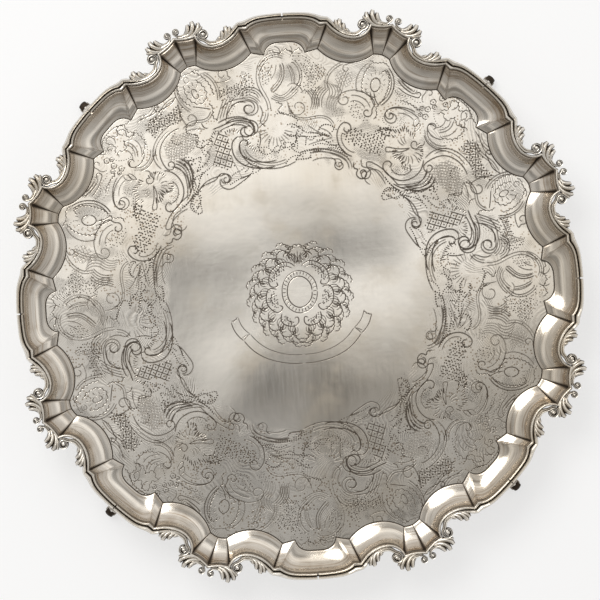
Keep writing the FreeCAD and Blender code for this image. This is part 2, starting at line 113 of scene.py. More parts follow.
CREST_LEAVES = [
    (3.4, [(1.76, 0.3), (2.80, 1.4), (3.44, 4.4), (3.58, 6.6)]),
    (4.1, [(2.06, -0.9), (3.51, 0.4), (4.38, 3.8), (4.52, 7.6)]),
    (4.1, [(2.67, -2.0), (4.28, -1.1), (5.24, 1.6), (5.61, 5.2)]),
    (2.7, [(3.56, -2.1), (4.87, -1.1), (5.73, 0.8), (6.10, 2.1)]),
]


def both_sides(half):
    """Whole profile from its left half, which ends on the middle line."""
    return half + [(-across, lift) for across, lift in half[-2::-1]]


# Profiles as (share of width, share of height).
MOULDING_PROFILE = [
    (0.0, 0.0), (0.02, 0.50), (0.10, 0.76), (0.20, 0.80), (0.31, 0.70), (0.39, 0.40), (0.44, 0.28),
    (0.49, 0.40), (0.57, 0.78), (0.69, 0.98), (0.80, 1.0), (0.91, 0.84), (0.98, 0.45), (1.0, 0.0),
]
SCROLL_PROFILE = both_sides([(-0.5, 0.0), (-0.49, 0.46), (-0.42, 0.80), (-0.30, 1.0), (-0.14, 0.97),
                             (0.0, 0.78)])
BEAD_PROFILE = both_sides([(-0.5, 0.0), (-0.46, 0.48), (-0.34, 0.80), (-0.17, 0.96), (0.0, 1.0)])
LEAF_PROFILE = both_sides([(-0.5, 0.0), (-0.48, 0.26), (-0.40, 0.50), (-0.24, 0.78), (-0.08, 0.97),
                           (0.0, 1.0)])
# Flat band of the rolled toe, all round: (share of its thickness, share of its width).
TOE_PROFILE = [(-0.5, -0.30), (-0.5, 0.30), (-0.2, 0.46), (0.1, 0.40), (0.32, 0.28), (0.46, 0.12), (0.5, 0.0),
               (0.46, -0.12), (0.32, -0.28), (0.1, -0.40), (-0.2, -0.46)]

# Millimetres.
DOT_DEPTH = 0.14
CUT_REACH = 1.25        # no cut starts farther than this from what it cuts
STEP_GROOVE = 0.35      # distance of the groove inside the foot of the step
STEP_BEVEL = 0.12       # softened edge of the step
# Degrees between neighbouring corners of the round centre piece.
CENTRE_ANGLE = 2.5


# ---------------------------------------------------------------- curves in the plan, in millimetres

def travelled(path):
    """Distance along a path from its start to each of its points."""
    return np.concatenate([[0.0], np.cumsum(np.linalg.norm(np.diff(path, axis=0), axis=1))])


def spline(points, step):
    """Smooth curve through points, sampled about every step, with parabolic ends."""
    knots = np.asarray(points, float)
    gaps = np.linalg.norm(np.diff(knots, axis=0), axis=1)
    reach = travelled(knots)
    count = max(int(round(reach[-1] / step)), 2) + 1
    places = np.linspace(0.0, reach[-1], count)
    if len(knots) == 2:
        return knots[0] + (knots[1] - knots[0]) * (places / reach[-1])[:, None]
    slopes = np.diff(knots, axis=0) / gaps[:, None]
    first = slopes[0] + (slopes[0] - slopes[1]) * gaps[0] / (gaps[0] + gaps[1])
    last = slopes[-1] + (slopes[-1] - slopes[-2]) * gaps[-1] / (gaps[-1] + gaps[-2])
    size = len(knots)
    system = np.zeros((size, size))
    target = np.zeros((size, 2))
    system[0, :2] = 2 * gaps[0], gaps[0]
    target[0] = 6 * (slopes[0] - first)
    system[-1, -2:] = gaps[-1], 2 * gaps[-1]
    target[-1] = 6 * (last - slopes[-1])
    for row in range(1, size - 1):
        system[row, row - 1:row + 2] = gaps[row - 1], 2 * (gaps[row - 1] + gaps[row]), gaps[row]
        target[row] = 6 * (slopes[row] - slopes[row - 1])
    bends = np.linalg.solve(system, target)
    piece = np.clip(np.searchsorted(reach, places, side="right") - 1, 0, size - 2)
    gap = gaps[piece][:, None]
    after = (places - reach[piece])[:, None]
    before = gap - after
    return (bends[piece] * before ** 3 + bends[piece + 1] * after ** 3) / (6 * gap) \
        + (knots[piece] / gap - bends[piece] * gap / 6) * before \
        + (knots[piece + 1] / gap - bends[piece + 1] * gap / 6) * after


def sideways(path):
    """Unit normals to the right of a sampled path."""
    ahead = np.gradient(path, axis=0)
    length = np.linalg.norm(ahead, axis=1)
    length[length == 0] = 1
    ahead /= length[:, None]
    return np.stack([ahead[:, 1], -ahead[:, 0]], axis=1)


def spoke(centre, reach, angle):
    """Point at a distance from a centre, angle degrees anticlockwise from +X."""
    turn = math.radians(angle)
    return centre[0] + reach * math.cos(turn), centre[1] + reach * math.sin(turn)


def coil(centre, reach, loss, power, start, turn, steps):
    """Points of a spiral through turn degrees; it loses a share of its reach, with a power above 1 slowly
    at first."""
    shares = [index / steps for index in range(steps + 1)]
    return [spoke(centre, reach * (1 - loss * share ** power), start + turn * share) for share in shares]


def circle(angle):
    """Corners of the unit circle, angle degrees apart."""
    turns = np.radians(np.arange(0, 360, angle))
    return np.stack([np.cos(turns), np.sin(turns)], axis=1)


def bearings(plan):
    """Angle of each point round the centre, from 0 to 360 degrees."""
    return np.degrees(np.arctan2(plan[:, 1], plan[:, 0])) % 360


def inside(points, outline):
    """Even-odd test of many points against a closed outline."""
    x, y = np.asarray(points, float).T
    result = np.zeros(len(x), bool)
    corners = list(outline)
    for (x0, y0), (x1, y1) in zip(corners, corners[1:] + corners[:1]):
        if y0 != y1:
            crosses = (y0 > y) != (y1 > y)
            result ^= crosses & (x < (x1 - x0) * (y - y0) / (y1 - y0) + x0)
    return result


def middle_and_size(outline):
    """Middle of an outline and the distance from it to the farthest corner."""
    corners = np.asarray(outline, float)
    middle = corners.mean(axis=0)
    return middle, np.linalg.norm(corners - middle, axis=1).max()


# ---------------------------------------------------------------- chasing: lines and dots of a panel

class Chaser:
    """Draws one panel of chasing, in millimetres. A panel stands upright: x runs clockwise round the
    salver and y runs outwards from its centre."""

    step = 0.8

    def __init__(self):
        self.lines = []
        self.dots = []

    def line(self, *points, width=0.85, depth=0.13, beside=()):
        """One smooth line, and more lines beside it at the given distances to its right."""
        path = spline(points, self.step)
        self.lines.append((path, width, depth))
        normals = sideways(path)
        for distance in beside:
            self.lines.append((path + normals * distance, width * 0.85, depth * 0.85))

    def scroll(self, body, centre, radius, start, turn, **cut):
        """Line that runs into a volute."""
        steps = max(int(abs(turn) / 35), 3)
        self.line(*body, *coil(centre, radius, 0.72, 1, start, turn, steps), **cut)

    def loop(self, *points, depth):
        """Closed line."""
        self.line(*points, points[0], width=0.7, depth=depth)

    def oval(self, centre, across, along, tilt=0.0, **cut):
        """Closed oval from its half sizes, tilted anticlockwise."""
        turn = math.radians(tilt)
        points = []
        for index in range(9):
            angle = math.tau * index / 8
            x, y = across * math.cos(angle), along * math.sin(angle)
            points.append((centre[0] + x * math.cos(turn) - y * math.sin(turn),
                           centre[1] + x * math.sin(turn) + y * math.cos(turn)))
        self.line(*points, **cut)

    def ragged(self, *points, wave=0.9, pitch=3.0, width=0.75, depth=0.17):
        """Line with a scalloped edge, as round a leaf or a petal."""
        path = spline(points, 0.5)
        lift = wave * np.abs(np.sin(math.pi * travelled(path) / pitch))
        self.lines.append((path + sideways(path) * lift[:, None], width, depth))

    def dotted(self, *points, spacing=1.6, radius=0.56):
        """Row of punched dots along a smooth line."""
        self.dots += [(x, y, radius) for x, y in spline(points, spacing)]

    def ticks(self, *points, focus, length=3.0, spacing=1.7, width=0.9, depth=0.3):
        """Short dark strokes along a line, each pointing at the focus, as at the edge of a shell."""
        for index, (x, y) in enumerate(spline(points, spacing)):
            reach = math.hypot(x - focus[0], y - focus[1])
            share = length * (1.0 if index % 2 == 0 else 0.6) / reach
            end = (x + (focus[0] - x) * share, y + (focus[1] - y) * share)
            self.lines.append((spline([(x, y), end], 0.45), width, depth))

    def punch(self, marks, outline, radius):
        """Dots at those marks that lie inside an outline."""
        self.dots += [(x, y, radius) for (x, y), kept in zip(marks, inside(marks, outline)) if kept]

    def stipple(self, outline, pitch, radius):
        """Punch marks close together, a little out of line, that fill an outline."""
        corners = np.asarray(outline, float)
        low, high = corners.min(axis=0), corners.max(axis=0)
        columns = int((high[0] - low[0]) / pitch) + 1
        rows = int((high[1] - low[1]) / (pitch * 0.87)) + 1
        wander = 0.28 * pitch
        marks = []
        for row in range(rows):
            for column in range(columns):
                x = low[0] + (column + 0.5 * (row % 2)) * pitch + wander * math.sin(5.1 * column + 3.3 * row)
                y = low[1] + row * pitch * 0.87 + wander * math.sin(2.7 * column + 7.9 * row)
                marks.append((x, y))
        self.punch(marks, outline, radius)

    def plume(self, root, turn, size, curl, side, strokes):
        """Leaf of nested strokes that curl over together, with a lacy outer edge; side -1 mirrors it."""
        mirror = np.array([side, 1.0])
        over = 1 if curl > 0 else -1
        shares = np.linspace(0, 1, 9)
        for stroke in range(strokes):
            spread = (stroke - (strokes - 1) / 2) * over
            length = size * (1.0 - 0.10 * stroke)
            heading = np.radians(turn - spread * 15 + (curl + over * 22 * stroke) * shares ** 1.5)
            steps = np.stack([np.cos(heading), np.sin(heading)], axis=1) * length / 8
            start = np.asarray(root, float) + np.array([math.sin(math.radians(turn)),
                                                        -math.cos(math.radians(turn))]) * spread * 0.9
            path = (start + np.cumsum(steps, axis=0)) * mirror
            if stroke == 0:
                self.ragged(*path, wave=0.8 * over * side, pitch=2.5, width=0.8, depth=0.22)
            else:
                self.line(*path, width=0.75, depth=0.17)

    def flower(self, centre, radius):
        """Small flower: an eye and a ring of round petals."""
        petals = 5
        self.dots.append((centre[0], centre[1], 0.55))
        ring = []
        for index in range(petals * 4 + 1):
            angle = math.tau * index / (petals * 4)
            reach = radius * (0.72 + 0.28 * abs(math.sin(angle * petals / 2)))
            ring.append((centre[0] + reach * math.cos(angle), centre[1] + reach * math.sin(angle)))
        self.line(*ring, width=0.7, depth=0.22)

    def straight(self, outline, angle, spacing, width, depth):
        """Parallel straight lines that fill an outline."""
        middle, size = middle_and_size(outline)
        along = np.array(spoke((0, 0), 1, angle))
        across = np.array([-along[1], along[0]])
        rows = int(size / spacing) + 1
        for row in range(-rows, rows + 1):
            reach = np.arange(-size, size, self.step)
            path = middle + across * row * spacing + along * reach[:, None]
            kept = inside(path, outline)
            edges = np.flatnonzero(np.diff(np.concatenate([[0], kept.astype(int), [0]])))
            for first, last in zip(edges[::2], edges[1::2]):
                if last - first > 3:
                    self.lines.append((path[first:last], width, depth))

    def trellis(self, outline, spacing, lean=45.0, width=0.7, depth=0.15, dot=0.62):
        """Crossed lines with a punched dot in every cell, or plain ones where dot is 0."""
        self.straight(outline, lean, spacing, width, depth)
        self.straight(outline, -lean, spacing, width, depth)
        if not dot:
            return
        middle, size = middle_and_size(outline)
        turn = math.radians(lean)
        stride_x = spacing / math.sin(turn) / 2
        stride_y = spacing / math.cos(turn) / 2
        reach = int(size / min(stride_x, stride_y)) + 1
        numbers = range(-reach, reach + 1)
        cells = [middle + np.array([column * stride_x, row * stride_y])
                 for column in numbers for row in numbers if (column + row) % 2]
        self.punch(cells, outline, dot)


def chase_cardinal(pen):
    """Shell plume under a plain bay on the axes, and the leaves with dotted edges below it."""
    # Plume: outline, feathers and the stippled lining.
    pen.line((-13, 165), (-19, 160), (-20.5, 152), (-18, 143), (-15, 136), (-14.5, 129), beside=(-2.0,))
    pen.line((-3, 163), (-1.5, 158), (-2, 152), (-5, 147), (-10, 142), width=1.1, depth=0.17, beside=(1.6,))
    pen.line((-5, 162), (-4, 157), (-5.5, 151), (-9.5, 146.5), (-11, 144.5), (-10, 142))
    pen.line((-7, 162), (-7.5, 157), (-11, 151))
    pen.line((-9.5, 162), (-11, 158), (-13.5, 154.5))
    pen.line((-2, 165), (-8, 166.5), (-14, 163.5), (-17.5, 157), beside=(1.5, 3.0))
    pen.line((0, 161), (2.6, 156), (3.6, 148), beside=(-1.3,))
    pen.line((2, 161), (5.5, 154), (5.5, 147))
    pen.line((4, 163), (8.5, 157), (9, 150), (6, 145), (2, 142), width=1.0, beside=(-1.6,))
    pen.line((-10, 141), (-4, 138.5), (1, 141), (5, 145.5), beside=(-1.5,))
    pen.line((-12, 139), (-5, 136), (3, 138.5), (8, 143.5), beside=(-1.4,))
    pen.stipple([(-18, 160), (-11, 161), (-10, 152), (-12.5, 148), (-16, 147), (-19, 153)], 1.6, 0.4)
    # Leaves under the rim.
    pen.ragged((-14, 168), (-10, 171.5), (-5, 169.5), (0, 172), (5, 170), (9, 172), (12.5, 168), pitch=3.4)
    pen.dotted((-17, 162), (-14, 166), (-9, 167.5), (-4, 170), (-1, 173), spacing=2.1, radius=0.38)
    pen.dotted((1, 171), (5, 166), (4, 162), (8, 163.5), (11, 160), (9, 168), (12, 166), spacing=1.9,
               radius=0.42)
    pen.line((-8, 174), (-4, 171), (-5.5, 166))
    pen.line((3, 174), (4.6, 170), (2.5, 165.5))
    # Trellis and punched ground beside the plume.
    pen.trellis([(11, 160), (20, 161), (28, 156), (31, 151), (22, 148), (13, 150)], 3.1, lean=50, width=0.5,
                depth=0.07, dot=0.46)
    pen.stipple([(6, 147), (12, 149), (21, 147), (24, 142), (14, 140), (9, 141)], 2.1, 0.48)
    pen.stipple([(-46, 149), (-33, 150), (-26, 158), (-22, 150), (-21, 141), (-30, 141), (-46, 139)], 2.0,
                0.5)
    # C-scroll on the left and its volute.
    pen.scroll([(-46, 133), (-41, 137), (-31, 139), (-24, 137)], (-26.5, 131.5), 6.0, 40, -400, width=1.1)
    pen.line((-40, 134), (-34, 136.6), (-28, 136))
    pen.line((-14.5, 129), (-16.5, 122), (-21, 118.5), width=1.0, beside=(1.7,))
    pen.line((-20, 134), (-18.5, 127), (-20, 122), (-16, 118.5), width=1.1)
    # Feathers between the curls.
    for shift in (0.0, 1.6, 3.2, 4.8):
        pen.line((12 + shift, 143), (16.5 + shift, 136), (14.5 + shift, 128), width=0.9, depth=0.11)
    pen.scroll([(-1, 137), (0, 131)], (6.5, 131), 6.6, 175, 400)
    pen.line((0, 146), (4, 148), (9, 145), (11, 140))
    for shift in (0.0, 2.0, 4.0, 6.0, 8.0):
        pen.line((26 + shift, 148 - 0.4 * shift), (30 + shift, 141), (27 + shift, 134), width=0.9, depth=0.1)
    pen.ragged((-9, 136), (-4, 133), (-7, 129.5), (-3, 127), (2, 128), wave=0.8, pitch=2.4)
    # S-line over the leaves.
    pen.line((1, 131), (4, 125), (11, 123), (20, 123.6), (27, 122), (31.5, 116.5), beside=(1.5,))
    # Hook scroll.
    pen.scroll([(-44, 122.5), (-37, 125.4), (-29, 124)], (-27.5, 117), 6.2, 50, -370, width=1.1, depth=0.17)
    pen.line((-42, 119.5), (-36, 122.4), (-29, 121), (-25.4, 116.5), width=1.0)
    # Punched edges of the leaves.
    pen.dotted((-10, 126.5), (-5, 128), (0, 125.5), (4, 124), (5, 120.5), (1, 117.5), (4, 117), (7.5, 117.5),
               (8.5, 113), (4, 111), (0.5, 112))
    pen.dotted((4, 110.5), (10, 110), (16, 109), (22, 109.5), (27.5, 109))
    pen.dotted((20, 112), (22, 116), (27, 116.6), (31, 114), (28, 110.5))
    pen.dotted((-22, 108), (-22, 104), (-16, 103.5), (-12.5, 100.5), (-8, 101), (-4, 103.5), (-6, 108))
    pen.dotted((-14.5, 109), (-15, 104.5))
    pen.dotted((-1, 101.5), (3, 105), (4, 109.5))
    pen.dotted((0.5, 105), (3, 100), (8, 99), (12.5, 99.6), (20, 99), (28, 99.5), (33, 97.5), (38, 96))
    pen.dotted((10.5, 104), (11, 108))
    pen.dotted((16, 103), (22, 103.7), (28, 102), (32.5, 102))
    pen.dotted((23, 107.5), (26, 104.5), (30, 105))
    pen.dotted((3, 94), (7, 97.5), (10, 98))
    pen.dotted((3.5, 94), (8, 94.3), (13, 95), (13.5, 98))
    pen.dotted((-33, 99), (-28, 95), (-25, 92), (-22, 89), (-28, 85.5), (-35, 83.5))
    # Petals inside the dotted edges.
    for angle in range(190, 345, 14):
        pen.line(spoke((-10, 117), 6, angle), spoke((-10, 117), 13, angle), width=0.9, depth=0.09)
    for tip, middle in (((12, 118), (20, 112)), ((13, 113), (22, 110)), ((21, 114.5), (26, 112.5)),
                        ((12, 103.5), (20, 105.5))):
        pen.line((30, 107), middle, tip, width=0.9, depth=0.11)
    pen.straight([(8, 122), (20, 121), (18, 112), (9, 114)], 60, 1.4, 0.5, 0.08)
    # Crescent below.
    pen.scroll([(3, 93), (-5, 89.7), (-17, 88.6), (-27, 91.8), (-33.5, 100)], (-31, 107), 3.6, 200, -330,
               width=1.1, depth=0.15)
    pen.line((-3.5, 95), (-14, 92.4), (-23, 94.4), (-29, 99.5), (-31, 104.5), width=1.0, beside=(-1.8,))
    pen.stipple([(-27, 102), (-19, 99), (-8, 98), (-4, 96), (-14, 94.4), (-24, 96.5)], 1.7, 0.28)
    # Inner border.
    pen.line((13, 97.5), (20, 98), (28, 96.6), (35, 94), (39, 90.5), width=1.2, depth=0.12, beside=(-1.9,))
    pen.scroll([(14, 92), (22, 93.5), (28, 92.6)], (32.5, 89), 3.4, 110, -390, width=1.0, depth=0.12)


def chase_first_cluster(pen):
    """Petalled medallion under a cluster, the bold trellis below it and its scrolls."""
    # Medallion.
    pen.oval((-2.5, 157.5), 1.9, 3.6, depth=0.24)
    for index in range(9):
        reach_x, reach_y = math.cos(math.tau * index / 9), math.sin(math.tau * index / 9)
        pen.line((-2.5 + 2.6 * reach_x, 157.8 + 4.4 * reach_y), (-2.0 + 4.2 * reach_x, 158.4 + 6.0 * reach_y),
                 (-2.0 + 5.6 * reach_x, 159.0 + 7.4 * reach_y), width=0.75, depth=0.2)
    pen.oval((-4, 168.5), 1.8, 2.0, width=0.7, depth=0.17)
    pen.ragged((-8, 172), (-11.5, 166), (-12, 158), (-8.5, 151.5), wave=1.0, depth=0.24)
    pen.ragged((8, 151), (9, 158), (6.5, 166), (1, 172), wave=1.0, depth=0.24)
    pen.ragged((-6, 166), (-7.8, 160), (-6.4, 154), (-1, 150.6), (4, 154), (4, 161), (1, 166), wave=1.1,
               pitch=3.6, depth=0.24)
    pen.line((-12.5, 170), (-15.5, 162), (-14.5, 153), (-11, 147), width=1.1, beside=(-1.6,))
    pen.line((8, 168), (12, 161), (12, 153), (9.5, 147), width=1.0, beside=(-1.5,))
    pen.ragged((-8, 171), (-4, 173), (0, 172.5), (4, 173), (7, 170.5), wave=0.8, pitch=2.6)
    pen.line((-8.5, 150.4), (-3, 147.2), (2.6, 143.6), width=0.9, depth=0.26)
    # Trellises.
    pen.trellis([(-46, 152), (-36, 157.5), (-24, 153), (-16, 157.5), (-14.5, 153), (-20, 143), (-30, 146),
                 (-42, 142)], 3.3, lean=48, width=0.6, depth=0.13, dot=0.72)
    pen.trellis([(11, 154), (20, 151.5), (28, 151), (32, 157), (35, 157), (30, 142), (26, 142.5), (20, 147),
                 (12, 147)], 2.5, width=0.55, depth=0.12, dot=0.5)
    pen.trellis([(-40, 135), (-30, 138), (-21, 137), (-15, 131), (-15, 123), (-25, 121), (-40, 122)], 1.8,
                width=0.5, depth=0.08, dot=0)
    # Curls between medallion and trellis.
    pen.scroll([(-17, 153), (-19, 146)], (-13.4, 143), 5.6, 165, 400, width=1.2)
    pen.line((-22, 139), (-12, 141), (-4, 139), (2, 142.5), width=1.1, beside=(1.5,))
    pen.line((-22, 136), (-14, 135.5), (-8, 132.5), width=1.0)
    pen.line((-7.6, 138), (-7.8, 134.4), (-5, 132), width=0.9, depth=0.26)
    pen.ragged((4, 148), (4.5, 143), (2, 138), (4, 134.5), wave=1.0, pitch=2.6, depth=0.22)
    for shift in (0.0, 2.4, 4.8, 7.2):
        pen.line((2 + shift, 134), (7 + shift, 139.5), (14 + shift, 146 - 0.3 * shift), width=1.0)
    pen.dotted((11, 134), (15, 136), (19, 139.5), spacing=1.9, radius=0.4)
    pen.scroll([(7.5, 131), (13, 137), (21, 139.5)], (25, 132.6), 5.4, 80, -430, width=1.1, depth=0.15)
    pen.line((24, 141), (30, 138.5), (33, 132), width=0.9, beside=(-1.5,))
    pen.line((22, 142.5), (30, 146), (36, 142.5), (38, 135), width=1.0, beside=(1.7, 3.2))
    pen.straight([(-16, 134), (-10, 138), (-9, 130)], 20, 1.5, 0.5, 0.1)
    # Hook scroll: a round band with a volute.
    pen.scroll([(-3, 130), (4, 129.6), (12, 129)], (16.6, 119), 6.4, 60, -400, width=1.3, depth=0.2)
    pen.line((0, 126.5), (8, 127), (14.5, 125), (18.4, 120.5), width=1.1, depth=0.17)
    pen.line((2, 132.5), (12, 132), (19.6, 127.6), (22.8, 120), (20.5, 113.5), width=1.3, depth=0.17)
    # Dashes and bold trellis.
    pen.ticks((-15, 122), (-8, 124.5), (-4, 128.5), (2, 127), focus=(-1, 116))
    pen.ticks((4, 125.5), (9, 125), (13.5, 121.5), focus=(4, 116), length=3.4, depth=0.26)
    pen.trellis([(-15.5, 107), (-8.5, 113), (-7, 120), (-1.5, 126.5), (5, 121), (3, 112), (1, 105),
                 (0.5, 98.5), (-7, 100.5)], 3.9, lean=46, width=0.95, depth=0.27, dot=0.66)
    # Ragged leaf left of the trellis.
    pen.ragged((-15, 133), (-14, 128), (-17, 124), (-13, 121), pitch=2.4, depth=0.24)
    pen.dotted((-33, 118), (-27, 119.5), (-24, 116), (-27, 114), (-21, 113.5), spacing=1.7)
    pen.dotted((-31, 112), (-28, 108), (-30, 104.5), (-26, 103), (-23, 105.5), (-20, 103), spacing=1.7)
    pen.dotted((-22, 109.5), (-16, 111), (-12, 115), (-14, 119), spacing=1.7)
    for tip, middle in (((-36, 121), (-31, 112)), ((-32, 121), (-28, 112)), ((-41, 119), (-34, 109))):
        pen.line((-37, 99), middle, tip, width=1.0)
    # Round band on the right of the trellis.
    pen.line((11, 117.5), (6, 116), (3, 110.5), (3, 102), (7.5, 95), (15, 90), (24, 87.6), width=1.3,
             depth=0.18)
    pen.line((12, 114), (8.4, 111), (7.4, 104), (11, 98), (18, 93.4), (27, 91), width=1.2, depth=0.17)
    pen.line((9.5, 117), (12.8, 116), (12, 112.8), width=0.9, depth=0.2)
    pen.ticks((13, 112), (14.5, 104.5), (21, 98.5), focus=(26, 113), length=3.6, depth=0.24)
    pen.line((20, 104), (23.5, 110), (24.5, 114), width=1.0, depth=0.22)
    pen.dotted((19.5, 104), (20.5, 98.5), (26, 97.5), (31, 100), (36, 96.5), (44, 97.5))
    pen.dotted((40, 106), (44, 101.5), (49, 103))
    # Inner border.
    pen.scroll([(-31, 95), (-25, 98.2), (-17, 99), (-10, 98)], (-9.8, 94.4), 3.6, 70, -400, width=1.1,
               depth=0.16)
    pen.line((-13, 97), (-15, 92), (-11.5, 87.6), (-4, 87.4), (6, 89.6), width=1.1, depth=0.16)
    pen.dotted((-8, 93), (-3, 95.4), (3, 95.5), (8.5, 97), (9, 92), (5, 89.8), (-2, 90.4), (-9, 90))
    pen.dotted((4, 93), (6.5, 94), spacing=1.4)
    pen.dotted((30, 85), (34, 88), (39, 88.6), (44, 85.6), spacing=1.8)
    pen.dotted((-46, 90), (-38, 92.5), (-33, 95.5), (-28, 99.5), spacing=1.8)
    pen.dotted((-38, 84), (-39, 90), (-35, 94.5), (-31, 92), (-34, 87), (-38, 84), spacing=1.8)
    # Curls close to the rim.
    pen.scroll([(12.5, 160), (17, 157.2), (24, 157.6)], (20, 161.6), 4.0, -40, 400, width=1.0)
    pen.scroll([(-15, 162.5), (-22, 158.5), (-29, 158.3)], (-31.5, 160.4), 2.2, -100, -330, width=0.9,
               depth=0.2)
    pen.line((-32, 162), (-40, 158.5), (-47, 160), width=1.0, beside=(1.8,))


def chase_diagonal(pen):
    """Acanthus plume under a plain bay on the diagonals, the garland and the great fan shell."""
    # Flowers and leaves under the rim.
    pen.ragged((-12, 161), (-8, 165), (-10, 170), (-5, 172.5), (-1, 169), (3, 173), (8, 170), (7, 165),
               (12, 162), wave=1.0)
    pen.ragged((-14, 170), (-9, 174), (-4, 174.6), (3, 174), (8, 171), (13, 169.5), wave=0.8, pitch=2.2,
               depth=0.22)
    pen.ragged((2, 171), (6, 167), (4, 163), (9, 161.5), wave=0.8, pitch=2.2, depth=0.2)
    pen.line((-6, 173), (-4, 169), (-6, 165))
    pen.line((2, 172), (1, 168), (4, 164.5))
    # Acanthus plume.
    pen.ragged((-12, 157), (-8, 160.5), (-4, 158), (-1, 163), (4, 160.5), (9, 162), (10.5, 156), (9, 150.5),
               (4.5, 147), (0, 145), wave=1.1, pitch=3.4)
    pen.line((0, 161), (1.6, 154), (-2.5, 147.5), width=1.0, beside=(1.8,))
    pen.line((-5, 158.5), (-3.5, 153), (-6.5, 148.5))
    pen.line((5, 158.5), (5, 152.5), (1, 147))
    pen.scroll([(3, 146), (-2, 143.5), (-7, 143.6)], (-7.6, 148), 4.0, -95, -320, width=0.95, depth=0.17)
    pen.line((-6.4, 149), (-9.4, 149), (-11, 146), width=0.9, depth=0.28)
    pen.line((-10, 145), (-4, 140.5), (3, 141), (8, 145), width=1.0, beside=(1.5,))
    pen.line((-9, 140.5), (-4, 138), (4, 138.6), (10, 142), width=1.0, depth=0.17)
    pen.dotted((-14, 157), (-9, 152.5), (-4, 151.5), (0, 155), spacing=1.7, radius=0.4)
    pen.dotted((5, 145), (9, 150), (12, 158), spacing=1.8, radius=0.4)
    # Garland.
    for x, y, radius in ((-15.5, 167.5, 2.3), (-11, 165.5, 1.8), (-18.5, 161.5, 2.2), (-15.5, 159.5, 1.7),
                         (-18, 155.5, 2.1), (-21.5, 153.5, 1.7), (-16, 150.5, 2.1), (-19.5, 149.5, 1.5)):
        pen.flower((x, y), radius)
    pen.loop((-19, 146.5), (-19.8, 143), (-17.6, 140.5), (-16.6, 144), depth=0.22)
    pen.loop((-15.5, 145), (-14.2, 141.6), (-15, 138.2), (-17, 142.5), depth=0.24)
    # Trellis.
    pen.trellis([(14.5, 158), (20, 160), (26, 159), (32, 152.6), (46, 152), (44, 148.5), (38, 141),
                 (34, 140.5), (27, 146.5), (20, 149), (15, 150)], 3.8, lean=47, depth=0.17, dot=0.66)
    # Triple C-scroll on the right with its volute and net lining.
    pen.scroll([(32, 139), (26, 141.5), (18, 141.6), (11, 138.6), (6.5, 132.5)], (8.6, 126.2), 3.9, 155, 420,
               width=1.1, depth=0.17)
    pen.line((31, 145), (20, 146.5), (10, 143.8), (3.6, 137), (2.4, 129), width=1.1)
    pen.line((26, 143.5), (17, 144), (9, 141), (5, 135))
    pen.trellis([(10, 131), (13, 137), (22, 138.5), (33, 133), (37, 124), (28, 121), (11, 121)], 1.9, lean=40,
                width=0.5, depth=0.08, dot=0)
    pen.dotted((27, 139), (22, 137), (22, 133), (25, 131))
    pen.dotted((36, 136), (33, 132), (36, 127), (33, 124), (37, 121))
    # C-scroll on the left.
    pen.scroll([(-18, 146.6), (-27, 146), (-35, 141.6)], (-33, 134.6), 5.4, 165, 430, width=1.0, depth=0.15)
    pen.line((-20, 143.4), (-27, 143), (-32, 139.4))
    pen.ragged((-37, 148), (-30, 151), (-21, 151.5), pitch=2.6)
    pen.stipple([(-29, 140), (-24, 139.5), (-22, 135), (-26, 133.5), (-30, 135.5)], 1.5, 0.3)
    # Fan shell with its volute and club: white petals with dark ends.
    pen.scroll([(-6.5, 138), (-5, 134)], (-9.4, 131.4), 3.6, 25, -400, width=1.0, depth=0.17)
    pen.line((-10, 127.5), (-15, 122), (-20, 118.4), (-22.5, 115.8), (-21, 114.4), (-18.4, 116),
             (-13.5, 120.5), (-10, 127.5), width=1.0, depth=0.16)
    focus = (-10, 126)
    pen.ticks((-35, 121.5), (-33, 125.5), (-28, 128.5), (-24.5, 132.5), (-23, 136), (-18, 136.4),
              (-14, 137.4), focus=focus, length=4.2, spacing=1.75, width=0.95)
    pen.ticks((-32, 121), (-28, 123), (-24, 126.5), focus=focus, spacing=1.8, depth=0.28)
    pen.ticks((-18, 117), (-14, 114.5), (-9, 116), (-5, 113.5), (0.5, 116.5), focus=focus, length=4.6,
              spacing=1.8, width=0.95)
    pen.ticks((-7, 134.5), (-2.5, 133), (0.5, 129.5), (1.5, 124.5), focus=focus, depth=0.28)
    for angle in (148, 164, 180, 243, 258, 274, 290, 306, 326, 350, 12, 34):
        pen.line(spoke(focus, 4, angle), spoke(focus, 7, angle + 8), spoke(focus, 10.5, angle), width=1.0,
                 depth=0.11)
    # Crescent and long leaves.
    pen.scroll([(2, 128), (5.5, 121), (4, 112), (-2, 105.5), (-9, 103.8)], (-13, 108.5), 4.4, 270, -300,
               width=1.2, depth=0.17)
    pen.line((0.5, 119), (-0.5, 112), (-6, 108), (-11, 108.6), width=1.0)
    pen.stipple([(-12, 113), (-4, 112), (-1, 114), (-2, 109), (-8, 106), (-13, 108)], 1.5, 0.28)
    for shift in (0.0, 2.2, 4.4, 6.6):
        pen.line((9 + shift, 125), (10.6 + shift, 117), (6 + shift, 109), (-1 + 1.5 * shift, 102.4),
                 width=1.05, depth=0.14)
    pen.line((19, 119), (14, 111), (6, 104.5), (-3, 101.4), width=0.9, depth=0.22)
    pen.ticks((13, 119.5), (17, 120), (21, 118.5), focus=(12, 110), length=3.2, depth=0.28)
    pen.dotted((18, 121), (21, 117), (27, 114), (22, 111), (18, 109.5), (26, 108.5))
    pen.dotted((30, 112), (32, 117.5), (37, 120), (41, 116), (37, 113.5), (31, 112.5))
    pen.dotted((25, 104.5), (19, 105.4), (13, 103.6), (8, 100.6), (0, 100), (-8, 100.5))
    pen.dotted((8, 104.5), (13, 107.5), (18, 105.6))
